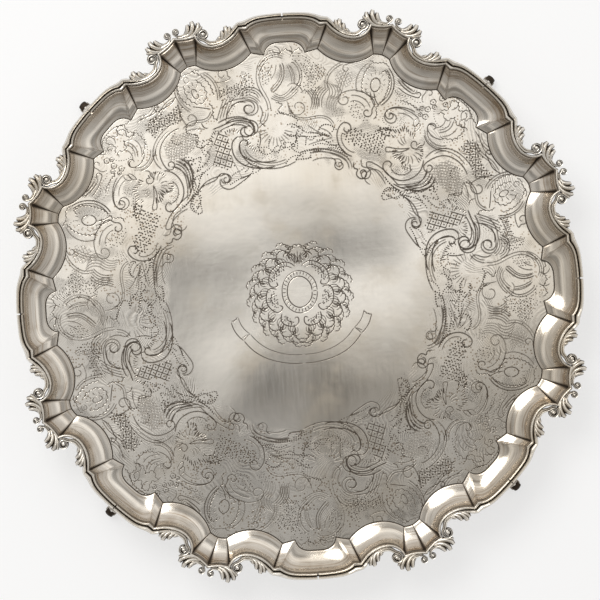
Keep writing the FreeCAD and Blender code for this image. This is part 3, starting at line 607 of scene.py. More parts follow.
    # Inner border: S-scroll and dotted leaf.
    pen.scroll([(2, 103), (-9, 104), (-19, 103.4), (-26, 99.4)], (-22, 93.4), 4.6, 110, -390, width=1.1,
               depth=0.15)
    pen.line((-9, 99.6), (-14, 101.4), (-19.5, 99.6), (-21.4, 95), (-20, 91), (-14, 90.5), width=1.0)
    pen.scroll([(6, 99.4), (13, 99.6), (19, 97.2)], (26, 92), 4.8, 120, -400, width=1.1, depth=0.15)
    pen.dotted((1.4, 99), (-3.6, 97), (-4, 91.5), (-1, 88.4), (1.6, 91.5), (4, 94.6), (6, 98.6), spacing=1.4)
    pen.dotted((-1, 96), (0, 92.5), (2.6, 96.5))
    pen.dotted((-50, 93.5), (-44, 95), (-38, 93), spacing=1.7)
    # Curls close to the rim.
    pen.scroll([(15, 165), (22, 162.6), (29, 159.6)], (32.6, 161.6), 2.2, -110, 330, width=1.0)
    pen.line((20, 160.5), (28, 157.4), (38, 158), (46, 156), width=1.1, beside=(1.6,))
    pen.scroll([(-24, 157), (-27, 161)], (-24.6, 164.4), 3.0, 220, -330, width=0.9)
    pen.line((-48, 157), (-40, 156), (-32, 158.5), (-33, 161.4), width=0.9, beside=(-1.6,))


def chase_second_cluster(pen):
    """Oval medallion with a tilted eye, and the round scroll that holds the punched ground."""
    # Medallion.
    pen.oval((2.6, 154.6), 3.4, 4.9, tilt=14, width=1.05, depth=0.2)
    pen.ragged((-5, 169), (-8, 161), (-7.5, 152), (-4, 145.5), wave=-1.0, pitch=2.8, depth=0.24)
    pen.ragged((8, 165), (11, 158), (11.4, 150), (9.6, 143), wave=-1.1, pitch=2.4, depth=0.26)
    pen.ragged((-4, 150), (1, 145.4), (7, 146.6), wave=-1.0, pitch=2.6)
    for index in range(14):
        angle = math.tau * index / 14 + 0.2
        reach_x, reach_y = math.cos(angle), math.sin(angle)
        pen.line((2.6 + 5.2 * reach_x, 154.8 + 6.8 * reach_y), (2.2 + 7.4 * reach_x, 155.2 + 9.8 * reach_y),
                 width=0.75, depth=0.15)
    pen.line((7, 169.5), (13.4, 163), (15.8, 154), (14, 146), (11.4, 142), width=1.2, depth=0.19,
             beside=(1.9,))
    pen.ragged((11, 143), (9.6, 139), (11.4, 135), (9.6, 131), pitch=2.2, depth=0.24)
    pen.line((-6, 168.5), (-11, 161), (-11.4, 152.5), (-8, 146), width=1.0)
    pen.line((3.5, 149.6), (6.2, 145), (10.4, 141.5), width=0.9, depth=0.24)
    pen.line((0.5, 149.4), (3.4, 144.5), (8.4, 139.6), width=0.9, depth=0.17)
    pen.ragged((-7, 171), (-2, 170), (3, 172), (8, 170), wave=0.8, pitch=2.6)
    pen.ragged((3, 163), (6, 167), (9, 164), pitch=2.4, depth=0.22)
    pen.dotted((-7, 162), (-4, 166), (-1, 164.5), spacing=1.8, radius=0.4)
    pen.stipple([(-50, 158), (-36, 156), (-34, 148), (-38, 140), (-50, 142)], 2.2, 0.46)
    pen.trellis([(-27, 158), (-17, 159), (-13, 153), (-16, 146), (-27, 147)], 2.0, width=0.5, depth=0.08,
                dot=0)
    pen.line((-28, 141), (-31, 148), (-29, 156), (-24, 162), width=1.0, depth=0.12, beside=(-1.7,))
    pen.line((-20, 141), (-21, 150), (-20, 158), width=1.0, depth=0.1, beside=(-1.7, 1.7))
    # C-scroll under the medallion.
    pen.scroll([(-8, 147.4), (-16, 144)], (-15, 138.2), 5.0, 130, 400, width=1.0)
    pen.scroll([(-10, 146.4), (-1, 146.6), (7, 141)], (3.6, 134.6), 3.8, 40, -370, width=1.1, depth=0.17)
    pen.line((-12, 142.4), (-6, 143.6), (0, 142.4), (5, 138), width=1.0)
    pen.line((-10, 139), (-3, 139.6), (1.6, 136.6), width=0.9)
    for shift in (0.0, 1.7, 3.4, 5.1, 6.8):
        pen.line((-34 + shift, 142), (-36.6 + shift, 135), (-34 + shift, 127), width=0.95, depth=0.12)
        pen.line((-24 + shift, 139), (-26 + shift, 133), (-23 + shift, 127), width=0.8, depth=0.08)
    pen.stipple([(-9, 141), (-2, 138), (2, 133), (6, 130), (4, 127), (-6, 129), (-12, 133)], 2.2, 0.46)
    pen.stipple([(-18, 132), (-12, 130), (-10, 126), (-14, 122), (-20, 125)], 1.7, 0.3)
    pen.dotted((17, 140), (16, 132.5), (21, 131), spacing=1.8, radius=0.4)
    # C-scroll towards the garland.
    pen.scroll([(36, 146), (27, 146.4), (19, 143)], (19.6, 138), 3.6, 150, 400, width=1.1, depth=0.15)
    pen.dotted((16, 156.5), (22, 154), (28, 155), (34, 153), (38, 154.5), spacing=1.9, radius=0.42)
    pen.dotted((20, 150.4), (26, 149), (32, 150), (36, 148), spacing=1.9, radius=0.4)
    pen.straight([(16, 158), (24, 156), (30, 153), (28, 151), (20, 151.5), (16.5, 153)], 40, 1.6, 0.5, 0.1)
    # Round scroll and its punched ground.
    pen.stipple([(-9, 115), (-4, 121.5), (3, 122), (11, 121), (14.5, 127), (20, 130), (25, 127), (22, 121),
                 (20.5, 114), (23, 109.5), (15, 108.5), (8, 110.5), (2, 109.5), (-6, 112)], 1.95, 0.66)
    pen.dotted((14, 128), (18, 128), (22, 130), (26, 131.5), spacing=1.7, radius=0.5)
    pen.scroll([(3, 103), (-4, 104), (-10, 108.6), (-12.6, 115)], (-7.4, 119.6), 4.6, 175, -380, width=1.2,
               depth=0.17)
    pen.line((4, 106), (-3, 106.6), (-8, 110.6), (-9.4, 115.6), width=1.0)
    # Punched edges of the leaves on the left.
    pen.dotted((-46, 109), (-42, 110.5), (-36, 108.6), (-30, 108), (-24, 109.6), (-21, 107.5))
    pen.dotted((-25, 112.5), (-23, 116.6), (-18, 118), (-14, 116.6))
    pen.dotted((-22, 111), (-17.5, 110.6))
    pen.dotted((-38, 109), (-38.5, 104), (-36, 99), (-35, 95.6))
    pen.dotted((-37, 102), (-33, 104.6), (-28, 103.6), (-26, 107))
    pen.dotted((-24, 105), (-20, 106.6), (-14, 105.6), (-9.5, 107))
    pen.dotted((-15, 103), (-9, 104.4), (-3, 103.5))
    pen.dotted((-46, 89), (-45.5, 94), (-42.5, 97.4), (-37, 96.4))
    pen.dotted((-32, 93), (-28, 96.6), (-23, 98.6), (-18, 100.8), (-13, 101.5))
    pen.dotted((-33, 88.6), (-28, 90), (-24, 92.5))
    # Inner border.
    pen.line((-25, 96), (-16, 99.4), (-7, 100), (1, 98), (3.6, 94), width=1.2, beside=(-2.0,))
    pen.scroll([(-12, 97)], (-3.6, 94.6), 3.8, 165, 400, width=1.0, depth=0.15)
    pen.scroll([(5, 100.6), (8, 96)], (13.6, 94.6), 4.6, 160, 430, width=1.2, depth=0.17)
    pen.line((9.5, 104), (12, 99), (18, 99.6), (25, 97.6), (32, 92), width=1.1)
    pen.dotted((30, 97), (34, 94), (40, 92.4), (47, 92))
    pen.dotted((31, 84), (33, 88.6), (39, 90.6), (46, 88), spacing=1.7)
    # Curls close to the rim.
    pen.line((17, 166), (22, 162), (29, 160), width=1.1, beside=(1.8,))
    pen.scroll([(18, 158.5), (27, 156)], (33, 158.4), 2.6, -110, 330, width=0.9, depth=0.2)
    pen.scroll([(-17, 165), (-21, 163)], (-21, 159.4), 3.0, 110, 350, width=0.9)


def chase_cartouche(pen):
    """Blank rococo cartouche among leaf sprays, with an empty ribbon, in the middle of the field."""
    # Plain shield: two ovals.
    pen.oval((0, 3), 8.6, 10.8, width=0.95, depth=0.32)
    pen.oval((0, 3), 12.2, 14.6, width=0.8, depth=0.28)
    # Rays between the two ovals.
    for angle in range(0, 360, 12):
        across, along = spoke((0, 0), 1, angle)
        pen.ticks((11.8 * across, 3 + 14.2 * along), (11.81 * across, 3 + 14.21 * along), focus=(0, 3),
                  length=2.6, width=0.8, depth=0.24)
    for side in (-1, 1):
        def flip(*points):
            """The points on this side."""
            return [(side * x, y) for x, y in points]

        # Frame of C-scrolls with punched linings.
        pen.line(*flip((2.0, 20.5), (8, 24), (16, 21), (20.6, 14), (19, 7.5), (15, 8), (16, 11)), width=0.95,
                 depth=0.32)
        pen.line(*flip((4, 19.4), (10, 21.2), (15, 18), (17.4, 13)), width=0.75, depth=0.26)
        pen.line(*flip((15.5, 5.4), (21, 6), (23.4, -0.5), (20.6, -7.6), (14.5, -10), (12.4, -7), (15, -5.6)),
                 width=0.95, depth=0.32)
        pen.line(*flip((17, 3), (20, 0), (18, -5)), width=0.75, depth=0.26)
        pen.line(*flip((13, -11), (13.6, -17), (8, -20.4), (2, -18), (2.6, -14.4), (5, -15.4)), width=0.95,
                 depth=0.32)
        pen.line(*flip((10.6, -12.6), (9.8, -16), (6, -17.4)), width=0.75, depth=0.26)
        pen.stipple(flip((15, 20), (19.6, 13.6), (17.6, 9), (14.4, 14), (9.4, 18.6), (9.6, 22.4)), 1.5, 0.5)
        pen.stipple(flip((18, 5), (22, 0), (19.4, -6), (15.4, -8), (15.4, -1)), 1.5, 0.5)
        pen.stipple(flip((12, -12), (12, -16.6), (8, -19), (4, -17.4), (8, -14)), 1.5, 0.5)
        for number in range(9):
            angle = 12 + 19.5 * number
            bearing = math.radians(angle)
            for reach, lean, size, curl in ((19.5, 30, 19, -135), (23.0, -28, 10, 120), (29.0, 24, 11, -150)):
                root = (reach * math.sin(bearing), 2 + reach * math.cos(bearing))
                pen.plume(root, 90 - angle + lean, size, curl, side, 4 if size > 15 else 3)
        # Ribbon with folded ends.
        pen.line(*flip((0, -40.4), (14, -39), (27, -33.2), (36, -24)), width=0.8, depth=0.16)
        pen.line(*flip((0, -46.4), (16, -44.8), (31, -38.4), (40.6, -28.4)), width=0.9, depth=0.22)
        pen.line(*flip((36, -24), (38.2, -25.4), (40.6, -28.4)), depth=0.2)
        pen.line(*flip((36, -24), (40.6, -19.4), (43.6, -12)), width=0.8, depth=0.16)
        pen.line(*flip((40.6, -28.4), (45.6, -23), (48.6, -15)), width=0.9, depth=0.22)
        pen.ragged(*flip((43.6, -12), (45.9, -14.4), (48.6, -15)), wave=0.8, pitch=2.0, width=0.8, depth=0.2)
        pen.line(*flip((37.4, -24.2), (42, -26.4)), width=0.7, depth=0.2)
    pen.ragged((-9, 27), (-5.4, 32.6), (0, 34.8), (5.4, 32.6), (9, 27), wave=-1.2, pitch=3.2, width=0.9,
               depth=0.32)
    for lean in (-7.2, -4.6, -2.3, 0.0, 2.3, 4.6, 7.2):
        pen.line((lean * 0.3, 22), (lean * 0.7, 27), (lean, 32.0 - abs(lean) * 0.55), width=0.75, depth=0.26)


# Panels of a quarter: angle of the panel's axis, what is chased on it.
PANELS = [(0.0, chase_cardinal), (22.5, chase_first_cluster), (45.0, chase_diagonal),
          (67.5, chase_second_cluster)]


def placed(points, angle):
    """Panel points turned to the panel's axis in the plan."""
    turn = math.radians(angle)
    x, y = np.asarray(points, float).T
    return np.stack([y * math.cos(turn) + x * math.sin(turn), y * math.sin(turn) - x * math.cos(turn)],
                    axis=1)


def hand_drift(points, quarter, amount):
    """Small wander of a hand-drawn copy, different in every quarter."""
    x, y = points.T
    phase = 1.7 * quarter
    shift_x = np.sin(x / 17 + phase) + 0.5 * np.sin(y / 7.3 + 2 * phase)
    shift_y = np.cos(y / 19 + phase) + 0.5 * np.sin(x / 8.1 - phase)
    return points + amount * np.stack([shift_x, shift_y], axis=1)


def chase_plate(drift, relief):
    """All lines and dots of the plate, in the plan; relief is the cut depth as a share of the drawn depth."""
    lines = []
    dots = []
    for start, draw in PANELS:
        pen = Chaser()
        draw(pen)
        centres = [(x, y) for x, y, _ in pen.dots]
        for quarter in range(QUARTERS):
            angle = start + quarter * 360.0 / QUARTERS
            for path, width, depth in pen.lines:
                lines.append((hand_drift(placed(path, angle), quarter, drift), width, depth * relief))
            spots = hand_drift(placed(centres, angle), quarter, drift)
            dots += [(spot[0], spot[1], radius) for spot, (_, _, radius) in zip(spots, pen.dots)]
    pen = Chaser()
    chase_cartouche(pen)
    lines += [(placed(path, 90.0), width, depth * relief) for path, width, depth in pen.lines]
    return lines, dots + pen.dots


# ---------------------------------------------------------------- outlines of the sheet

def half_outline(table, crest, arch, lobe, bay, corner):
    """Plan points of each stretch, on a sector whose cluster lies on +Y."""
    stretches = []
    for stretch in table:
        points = []
        for angle, a, b, c, d in stretch:
            radius = crest - a * arch - b * lobe - c * bay - d * corner
            turn = math.radians(angle)
            points.append((radius * math.sin(turn), radius * math.cos(turn)))
        stretches.append(np.array(points))
    return stretches


def turned(plan, angle):
    """Plan points turned anticlockwise."""
    cosine, sine = math.cos(math.radians(angle)), math.sin(math.radians(angle))
    x, y = plan.T
    return np.stack([x * cosine - y * sine, x * sine + y * cosine], axis=1)


def far_half(plan):
    """The same stretch on the far half of its sector, in the order of travel."""
    return turned(np.stack([-plan[:, 0], plan[:, 1]], axis=1)[::-1], -SECTOR_ANGLE)


def even(plan, count):
    """Smooth curve through plan points with a given number of equal steps."""
    path = spline(plan, 0.05)
    reach = travelled(path)
    places = np.linspace(0, reach[-1], count + 1)
    return np.stack([np.interp(places, reach, path[:, 0]), np.interp(places, reach, path[:, 1])], axis=1)


def whole_sector(half):
    """Stretches from one cluster to the next, through the bay between them."""
    arch, lobe, corner, bay = half
    return [arch, lobe, corner, np.vstack([bay, far_half(bay)[1:]]), far_half(corner), far_half(lobe),
            far_half(arch)]


class SheetLine:
    """Closed outlines between the field line and the bead line, all with the same number of samples.
    crease is true where two flutes meet, and weight is how dark that crease gets."""

    def __init__(self, field, bead, step):
        self.field = whole_sector(field)
        self.bead = whole_sector(bead)
        self.counts = []
        for low, high in zip(self.field, self.bead):
            self.counts.append(max(int(round(travelled((low + high) / 2)[-1] / step)), 3))
        starts = np.cumsum([0] + self.counts[:-1])
        crease = np.zeros(sum(self.counts), bool)
        crease[starts] = True
        weight = np.ones(len(crease))
        weight[starts[3:5]] = 0.4           # the corners of the plain bay
        self.crease = np.tile(crease, SECTORS)
        self.weight = np.tile(weight, SECTORS)

    def ring(self, share, offset=0.0):
        """Outline a share of the way from the field line to the bead line, moved outwards by offset."""
        sector = []
        for low, high, count in zip(self.field, self.bead, self.counts):
            plan = low * (1 - share) + high * share
            plan = plan * (1 + offset / np.linalg.norm(plan, axis=1))[:, None]
            sector.append(even(plan, count)[:-1])
        sector = np.vstack(sector)
        return np.vstack([turned(sector, SECTOR_ANGLE / 2 - SECTOR_ANGLE * index)
                          for index in range(SECTORS)])


# ---------------------------------------------------------------- meshes

def add_piece(name, vertices, faces, slot, *nodes):
    """Mesh object from vertices in millimetres, riding on the body and standing for CAD nodes."""
    mesh = bpy.data.meshes.new(name)
    mesh.from_pydata((np.asarray(vertices, float) * MM).tolist(), [], faces)
    mesh.validate()
    work = bmesh.new()
    work.from_mesh(mesh)
    bmesh.ops.recalc_face_normals(work, faces=work.faces)
    work.to_mesh(mesh)
    work.free()
    piece = bpy.data.objects.new(name, mesh)
    bpy.context.scene.collection.objects.link(piece)
    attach(piece, BODY)
    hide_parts(*nodes)
    return piece


def set_attribute(piece, name, values):
    """A number at every vertex, for the finishes to read."""
    attribute = piece.data.attributes.new(name, "FLOAT", "POINT")
    attribute.data.foreach_set("value", np.asarray(values, np.float32))


def closed_faces(rows, samples):
    """Quads between rows of samples that go all the way round, with the last row joined to the first."""
    faces = []
    for row in range(rows):
        low = row * samples
        high = (row + 1) % rows * samples
        for sample in range(samples):
            after = (sample + 1) % samples
            faces.append((low + sample, low + after, high + after, high + sample))
    return faces


def sharpen(piece, angle, samples=0, crease=None):
    """Smooth shading that breaks at steep edges and along the creases between rows."""
    mesh = piece.data
    mesh.shade_smooth()
    mesh.set_sharp_from_angle(angle=math.radians(angle))
    if crease is None:
        return
    ends = np.zeros(len(mesh.edges) * 2, np.int32)
    mesh.edges.foreach_get("vertices", ends)
    first, second = ends.reshape(-1, 2).T % samples
    sharp = np.zeros(len(mesh.edges), bool)
    attribute = mesh.attributes["sharp_edge"]
    attribute.data.foreach_get("value", sharp)
    sharp |= (first == second) & crease[first]
    attribute.data.foreach_set("value", sharp)


def sheet_heights(plate, cavetto):
    """Heights in millimetres of the underside, the field, its step and the flange, from the CAD box."""
    low = PLATE_LOW.z / MM
    high = PLATE_HIGH.z / MM
    return low, low + plate.thickness / MM, low + (plate.thickness + cavetto.step) / MM, high


def build_cavetto(plate, cavetto, line):
    """Fluted ring between field and border: step, cavetto, flange and the back, one closed mesh."""
    low, field, step, high = sheet_heights(plate, cavetto)
    thickness = plate.thickness / MM
    flange = cavetto.flange / MM
    lip = cavetto.lip / cavetto.width
    profile = spline(CAVETTO_PROFILE, 1 / 14)
    # Rows from the field outwards, then back underneath: share of the cavetto's width, offset, height.
    rows = [(0.0, 0.0, field), (0.0, 0.0, step - STEP_BEVEL), (0.006, 0.0, step)]
    rows += [(share * (1.0 - lip), 0.0, step + rise * (high - step)) for share, rise in profile[1:]]
    rows.append((1.0 - lip * 0.4, 0.0, high))
    upper = len(rows)
    rows += [(1.0, 0.0, high - 0.1), (1.0, flange, high), (1.0, flange, high - thickness),
             (1.0, thickness / 2, high - thickness)]
    rows += [(share, thickness / 2, low + rise * (high - thickness - low)) for share, rise in profile[-2::-2]]
    rows.append((0.0, 0.0, low))

    samples = len(line.crease)
    dark = line.crease * line.weight
    near = [dark] + [np.maximum(np.roll(dark, reach), np.roll(dark, -reach)) for reach in (1, 2)]
    vertices = []
    tarnish_and_shade = []
    for index, (share, offset, height) in enumerate(rows):
        heights = np.full(samples, height)
        stain_and_shade = np.zeros(samples)
        # Painted shade with tarnish: the step wall round the field and the flange under the border are fully
        # dark, the top edge of the step partly, and dark bands run up beside each crease between flutes,
        # widening towards the border.
        if index < 2 or upper < index < upper + 3:
            stain_and_shade += 1.0
        elif index < upper:
            heights -= line.crease * cavetto.fold_depth / MM * math.sin(math.pi * min(share * 1.02, 1.0))
            for reach, crease in enumerate(near):
                stain_and_shade = np.maximum(stain_and_shade, crease * (1.0 - 0.3 * reach) * share ** (0.1 + 0.8 * reach))
            if index == 2:
                stain_and_shade = np.maximum(stain_and_shade, 0.35)
        vertices.append(np.column_stack([line.ring(share, offset), heights]))
        tarnish_and_shade.append(stain_and_shade)
    piece = add_piece("plate_cavetto", np.vstack(vertices), closed_faces(len(rows), samples),
                      "sheet_silver", "plate")
    set_attribute(piece, "tarnish_and_shade", np.concatenate(tarnish_and_shade))
    set_attribute(piece, "across", np.repeat([share for share, _, _ in rows], samples))
    sharpen(piece, 40, samples, line.crease)
    return [piece]


def groove_depths(places, lines, dots):
    """Depth of the chasing at each place: every line and dot is a V-shaped cut."""
    cuts = []
    for path, width, depth in lines:
        order = np.arange(len(path))
        taper = np.minimum(np.minimum(order, order[::-1]) / 2, 1.0)
        for index in range(len(path)):
            after = min(index + 1, len(path) - 1)
            cuts.append((path[index], path[after], width / 2 * max(taper[index], 0.1),
                         depth * taper[index], depth * taper[after]))
    cuts += [((x, y), (x, y), radius, DOT_DEPTH, DOT_DEPTH) for x, y, radius in dots]
    tree = kdtree.KDTree(len(cuts))
    for index, cut in enumerate(cuts):
        tree.insert((cut[0][0], cut[0][1], 0), index)
    tree.balance()
    depths = np.zeros(len(places))
    for number, (x, y) in enumerate(places):
        for _, index, _ in tree.find_range((x, y, 0), CUT_REACH):
            start, end, half, start_depth, end_depth = cuts[index]
            along_x, along_y = end[0] - start[0], end[1] - start[1]
            span = along_x * along_x + along_y * along_y
            share = 0.0
            if span > 0:
                share = ((x - start[0]) * along_x + (y - start[1]) * along_y) / span
                share = min(max(share, 0.0), 1.0)
            distance = math.hypot(x - start[0] - along_x * share, y - start[1] - along_y * share)
            if distance < half:
                depth = start_depth + (end_depth - start_depth) * share
                depths[number] = max(depths[number], depth * min(1.0, 2.2 * (1 - distance / half)))
    return depths


class Flat:
    """Points and edges of a flat drawing that is then triangulated."""

    def __init__(self):
        self.points = []
        self.edges = []

    def chain(self, path, closed=False):
        """Adds a row of edges and gives the number of its first point."""
        first = len(self.points)
        self.points += [Vector(place) for place in np.asarray(path, float).tolist()]
        last = len(self.points) - 1
        self.edges += [(index, index + 1) for index in range(first, last)]
        if closed:
            self.edges.append((last, first))
        return first

    def triangles(self):
        """Points and triangles of the whole drawing, with every edge kept."""
        points, _, faces, _, _, _ = delaunay_2d_cdt(self.points, self.edges, [], 0, 1e-4)
        return np.array([tuple(point) for point in points]), np.array(faces)


def draw_cuts(flat, lines, dots):
    """Centre and both edges of every line, and a ring round every dot."""
    for path, width, _ in lines:
        flat.chain(path)
        if len(path) > 2:
            edge = sideways(path)[1:-1] * width / 2
            flat.chain(path[1:-1] + edge)
            flat.chain(path[1:-1] - edge)
    hexagon = circle(60)
    for x, y, radius in dots:
        for share in (1.0, 0.55):
            flat.chain(np.array([x, y]) + hexagon * radius * share, closed=True)
        flat.points.append(Vector((x, y)))


def slab(points, heights, faces, floor):
    """Closed slab: triangles on top, walls round their edge and one flat face below."""
    used, faces = np.unique(faces, return_inverse=True)
    faces = faces.reshape(-1, 3)
    vertices = np.column_stack([points[used], heights[used]]).tolist()
    sides = np.vstack([faces[:, [0, 1]], faces[:, [1, 2]], faces[:, [2, 0]]])
    known = {tuple(side) for side in sides.tolist()}
    following = {a: b for a, b in known if (b, a) not in known}
    all_faces = [tuple(face) for face in faces.tolist()]
    while following:
        start = next(iter(following))
        loop = [start]
        while following[loop[-1]] != start:
            loop.append(following[loop[-1]])
        for corner in loop:
            del following[corner]
        base = len(vertices)
        count = len(loop)
        vertices += [[vertices[corner][0], vertices[corner][1], floor] for corner in loop]
        for index in range(count):
            after = (index + 1) % count
            all_faces.append((loop[after], loop[index], base + index, base + after))
        all_faces.append(tuple(base + index for index in reversed(range(count))))
    return vertices, all_faces


def build_field(plate, cavetto, line):
    """Flat field in four quarters and a centre, with all its chasing cut into the mesh."""
    low, field, _, _ = sheet_heights(plate, cavetto)
    lines, dots = chase_plate(plate.drift / MM, plate.relief)
    edge = line.ring(0.0)
    edge_reach = np.linalg.norm(edge, axis=1)
    edge_bearing = bearings(edge)
    centre_radius = plate.centre_radius / MM
    centre = circle(CENTRE_ANGLE) * centre_radius
    flat = Flat()
    flat.chain(edge, closed=True)
    first_centre = flat.chain(centre, closed=True)

    # The seams between the quarters run to the centre piece from every second cluster.
    corners = [2 * quarter * (len(edge) // SECTORS) for quarter in range(QUARTERS)]
    for corner in corners:
        nearest = int(round(edge_bearing[corner] / CENTRE_ANGLE)) % len(centre)
        flat.edges.append((corner, first_centre + nearest))
    # Groove round the foot of the step, blackened with the chasing's tarnish; its black line also stands for
    # the shade of the step, a painted shade.
    foot = edge * (1 - STEP_GROOVE / edge_reach)[:, None]
    lines.append((np.vstack([foot, foot[:1]]), 0.9, DOT_DEPTH))
    draw_cuts(flat, lines, dots)
    points, faces = flat.triangles()
    heights = field - groove_depths(points, lines, dots)

    middles = points[faces].mean(axis=1)
    reach = np.linalg.norm(middles, axis=1)
    bearing = bearings(middles)
    order = np.argsort(edge_bearing)
    limit = np.interp(bearing, edge_bearing[order], edge_reach[order], period=360)
    region = np.searchsorted(np.sort(edge_bearing[corners]), bearing) % QUARTERS
    central = reach < centre_radius * 0.9995    # less than 1, as the centre piece has straight edges
    parts = [("plate_field_%d" % (number + 1), (region == number) & (reach < limit) & ~central)
             for number in range(QUARTERS)]
    pieces = []
    for name, chosen in parts + [("plate_centre", central)]:
        vertices, polygons = slab(points, heights, faces[chosen], low)
        pieces.append(add_piece(name, vertices, polygons, "sheet_silver", "plate"))
    return pieces


# ---------------------------------------------------------------- cast ornament

def polar(points, reference):
    """Plan points of (angle, height above a reference circle), on a sector whose cluster lies on +Y."""
    places = []
    for angle, lift in points:
        turn = math.radians(angle)
        places.append(((reference + lift) * math.sin(turn), (reference + lift) * math.cos(turn)))
    return np.array(places)


def shared_out(values, count):
    """Values given at even shares of a length, at each of count places along it."""
    return np.interp(np.linspace(0, 1, count), np.linspace(0, 1, len(values)), values)


class Cast:
    """Closed strips and slabs that overlap, as the parts of one casting in the plan of its sector. Each
    vertex holds a share of darkening, which is tarnish with painted shade."""

    step = 0.45

    def __init__(self):
        self.vertices = []
        self.faces = []
        self.tarnish_and_shade = []

    def skin(self, rows, stains_and_shade):
        """Closed body from rows of vertices with the same number of corners in each. A share of darkening,
        tarnish with painted shade, is one number for its row or one for each corner."""
        first = len(self.vertices)
        count = len(rows[0])
        for row, stain_and_shade in zip(rows, stains_and_shade):
            self.vertices += [tuple(corner) for corner in row]
            self.tarnish_and_shade += list(np.broadcast_to(stain_and_shade, count))
        for index in range(len(rows) - 1):
            low = first + index * count
            for corner in range(count):
                after = (corner + 1) % count
                self.faces.append((low + corner, low + after, low + count + after, low + count + corner))
        self.faces.append(tuple(first + corner for corner in reversed(range(count))))
        last = first + (len(rows) - 1) * count
        self.faces.append(tuple(last + corner for corner in range(count)))

    def strip(self, path, widths, heights, profile):
        """Raised strip, darkened at its feet and up its flanks by tarnish with painted shade; widths and
        heights are given at even shares of its path.
        """
        across, lift = np.array(profile).T
        rows = []
        for place, normal, width, height in zip(path, sideways(path), shared_out(widths, len(path)),
                                                shared_out(heights, len(path))):
            plan = place + normal * (across * width)[:, None]
            rows.append(np.column_stack([plan, lift * height]))
        stain_and_shade = np.where(lift > 0, np.clip(1.35 - 1.45 * lift, 0.08, 1), 0.3)
        self.skin(rows, [stain_and_shade] * len(rows))

    def band(self, inner, outer, profile, heights):
        """Moulding between two lines with the same number of samples, darkened in its hollow and on its
        flanks by tarnish with painted shade.
        """
        across, lift = np.array(profile).T
        rows = []
        for low, far, height in zip(inner, outer, shared_out(heights, len(inner))):
            plan = low + (far - low) * across[:, None]
            rows.append(np.column_stack([plan, lift * height]))
        stain_and_shade = np.where(lift > 0, np.clip((0.74 - lift) * 2.5, 0.05, 1), 0.4)
        self.skin(rows, [stain_and_shade] * len(rows))

    def scroll(self, body, centre, radius, width, height, start, turn):
        """C-scroll that swells from its tail and winds round a domed eye in a hollow darkened by tarnish with
        painted shade.
        """
        narrow = 0.56
        spiral = coil(centre, radius - width * narrow / 2, 0.66, 1.25, start, turn, 14)
        path = spline(list(body) + spiral, self.step)
        self.strip(path, width * np.array([0.5, 1, 1, 0.95, 0.8, 0.65, narrow, narrow, narrow]),
                   height * np.array([0.5, 0.72, 0.78, 0.8, 0.84, 0.88, 0.92, 1]), SCROLL_PROFILE)
        self.dome(centre, radius * 0.33, height * 1.05)
        self.disc(centre, radius * 0.8, height * 0.6)

    def dome(self, centre, radius, height):
        """Eye of a volute, darkened round its foot by tarnish with painted shade."""
        rim = circle(30)
        rows = []
        for share, level in ((1.0, 0.0), (1.0, 0.7), (0.8, 0.88), (0.45, 0.98), (0.08, 1.0)):
            rows.append(np.column_stack([centre + rim * radius * share, np.full(len(rim), height * level)]))
        self.skin(rows, [0.7, 0.7, 0.0, 0.0, 0.0])

    def disc(self, centre, radius, height):
        """Dark ground under a volute: tarnish with painted shade in the hollow of the coil."""
        rim = circle(15) * radius + centre
        self.skin([np.column_stack([rim, np.full(len(rim), level)]) for level in (0.0, height)], [0.9] * 2)

    def leaf(self, points, width, height):
        """One finger of a leaf: a ridge down its middle and a blunt tip."""
        self.strip(spline(points, self.step), width * np.array([0.6, 0.75, 0.9, 1, 1, 1, 0.9, 0.6]),
                   height * np.array([0.5, 0.62, 0.74, 0.86, 0.95, 1, 0.9, 0.6]), LEAF_PROFILE)

    def mirrored(self):
        """Adds the other half of the casting."""
        count = len(self.vertices)
        self.vertices += [(-x, y, z) for x, y, z in self.vertices]
        self.faces += [tuple(count + corner for corner in reversed(face)) for face in self.faces]
        self.tarnish_and_shade += self.tarnish_and_shade


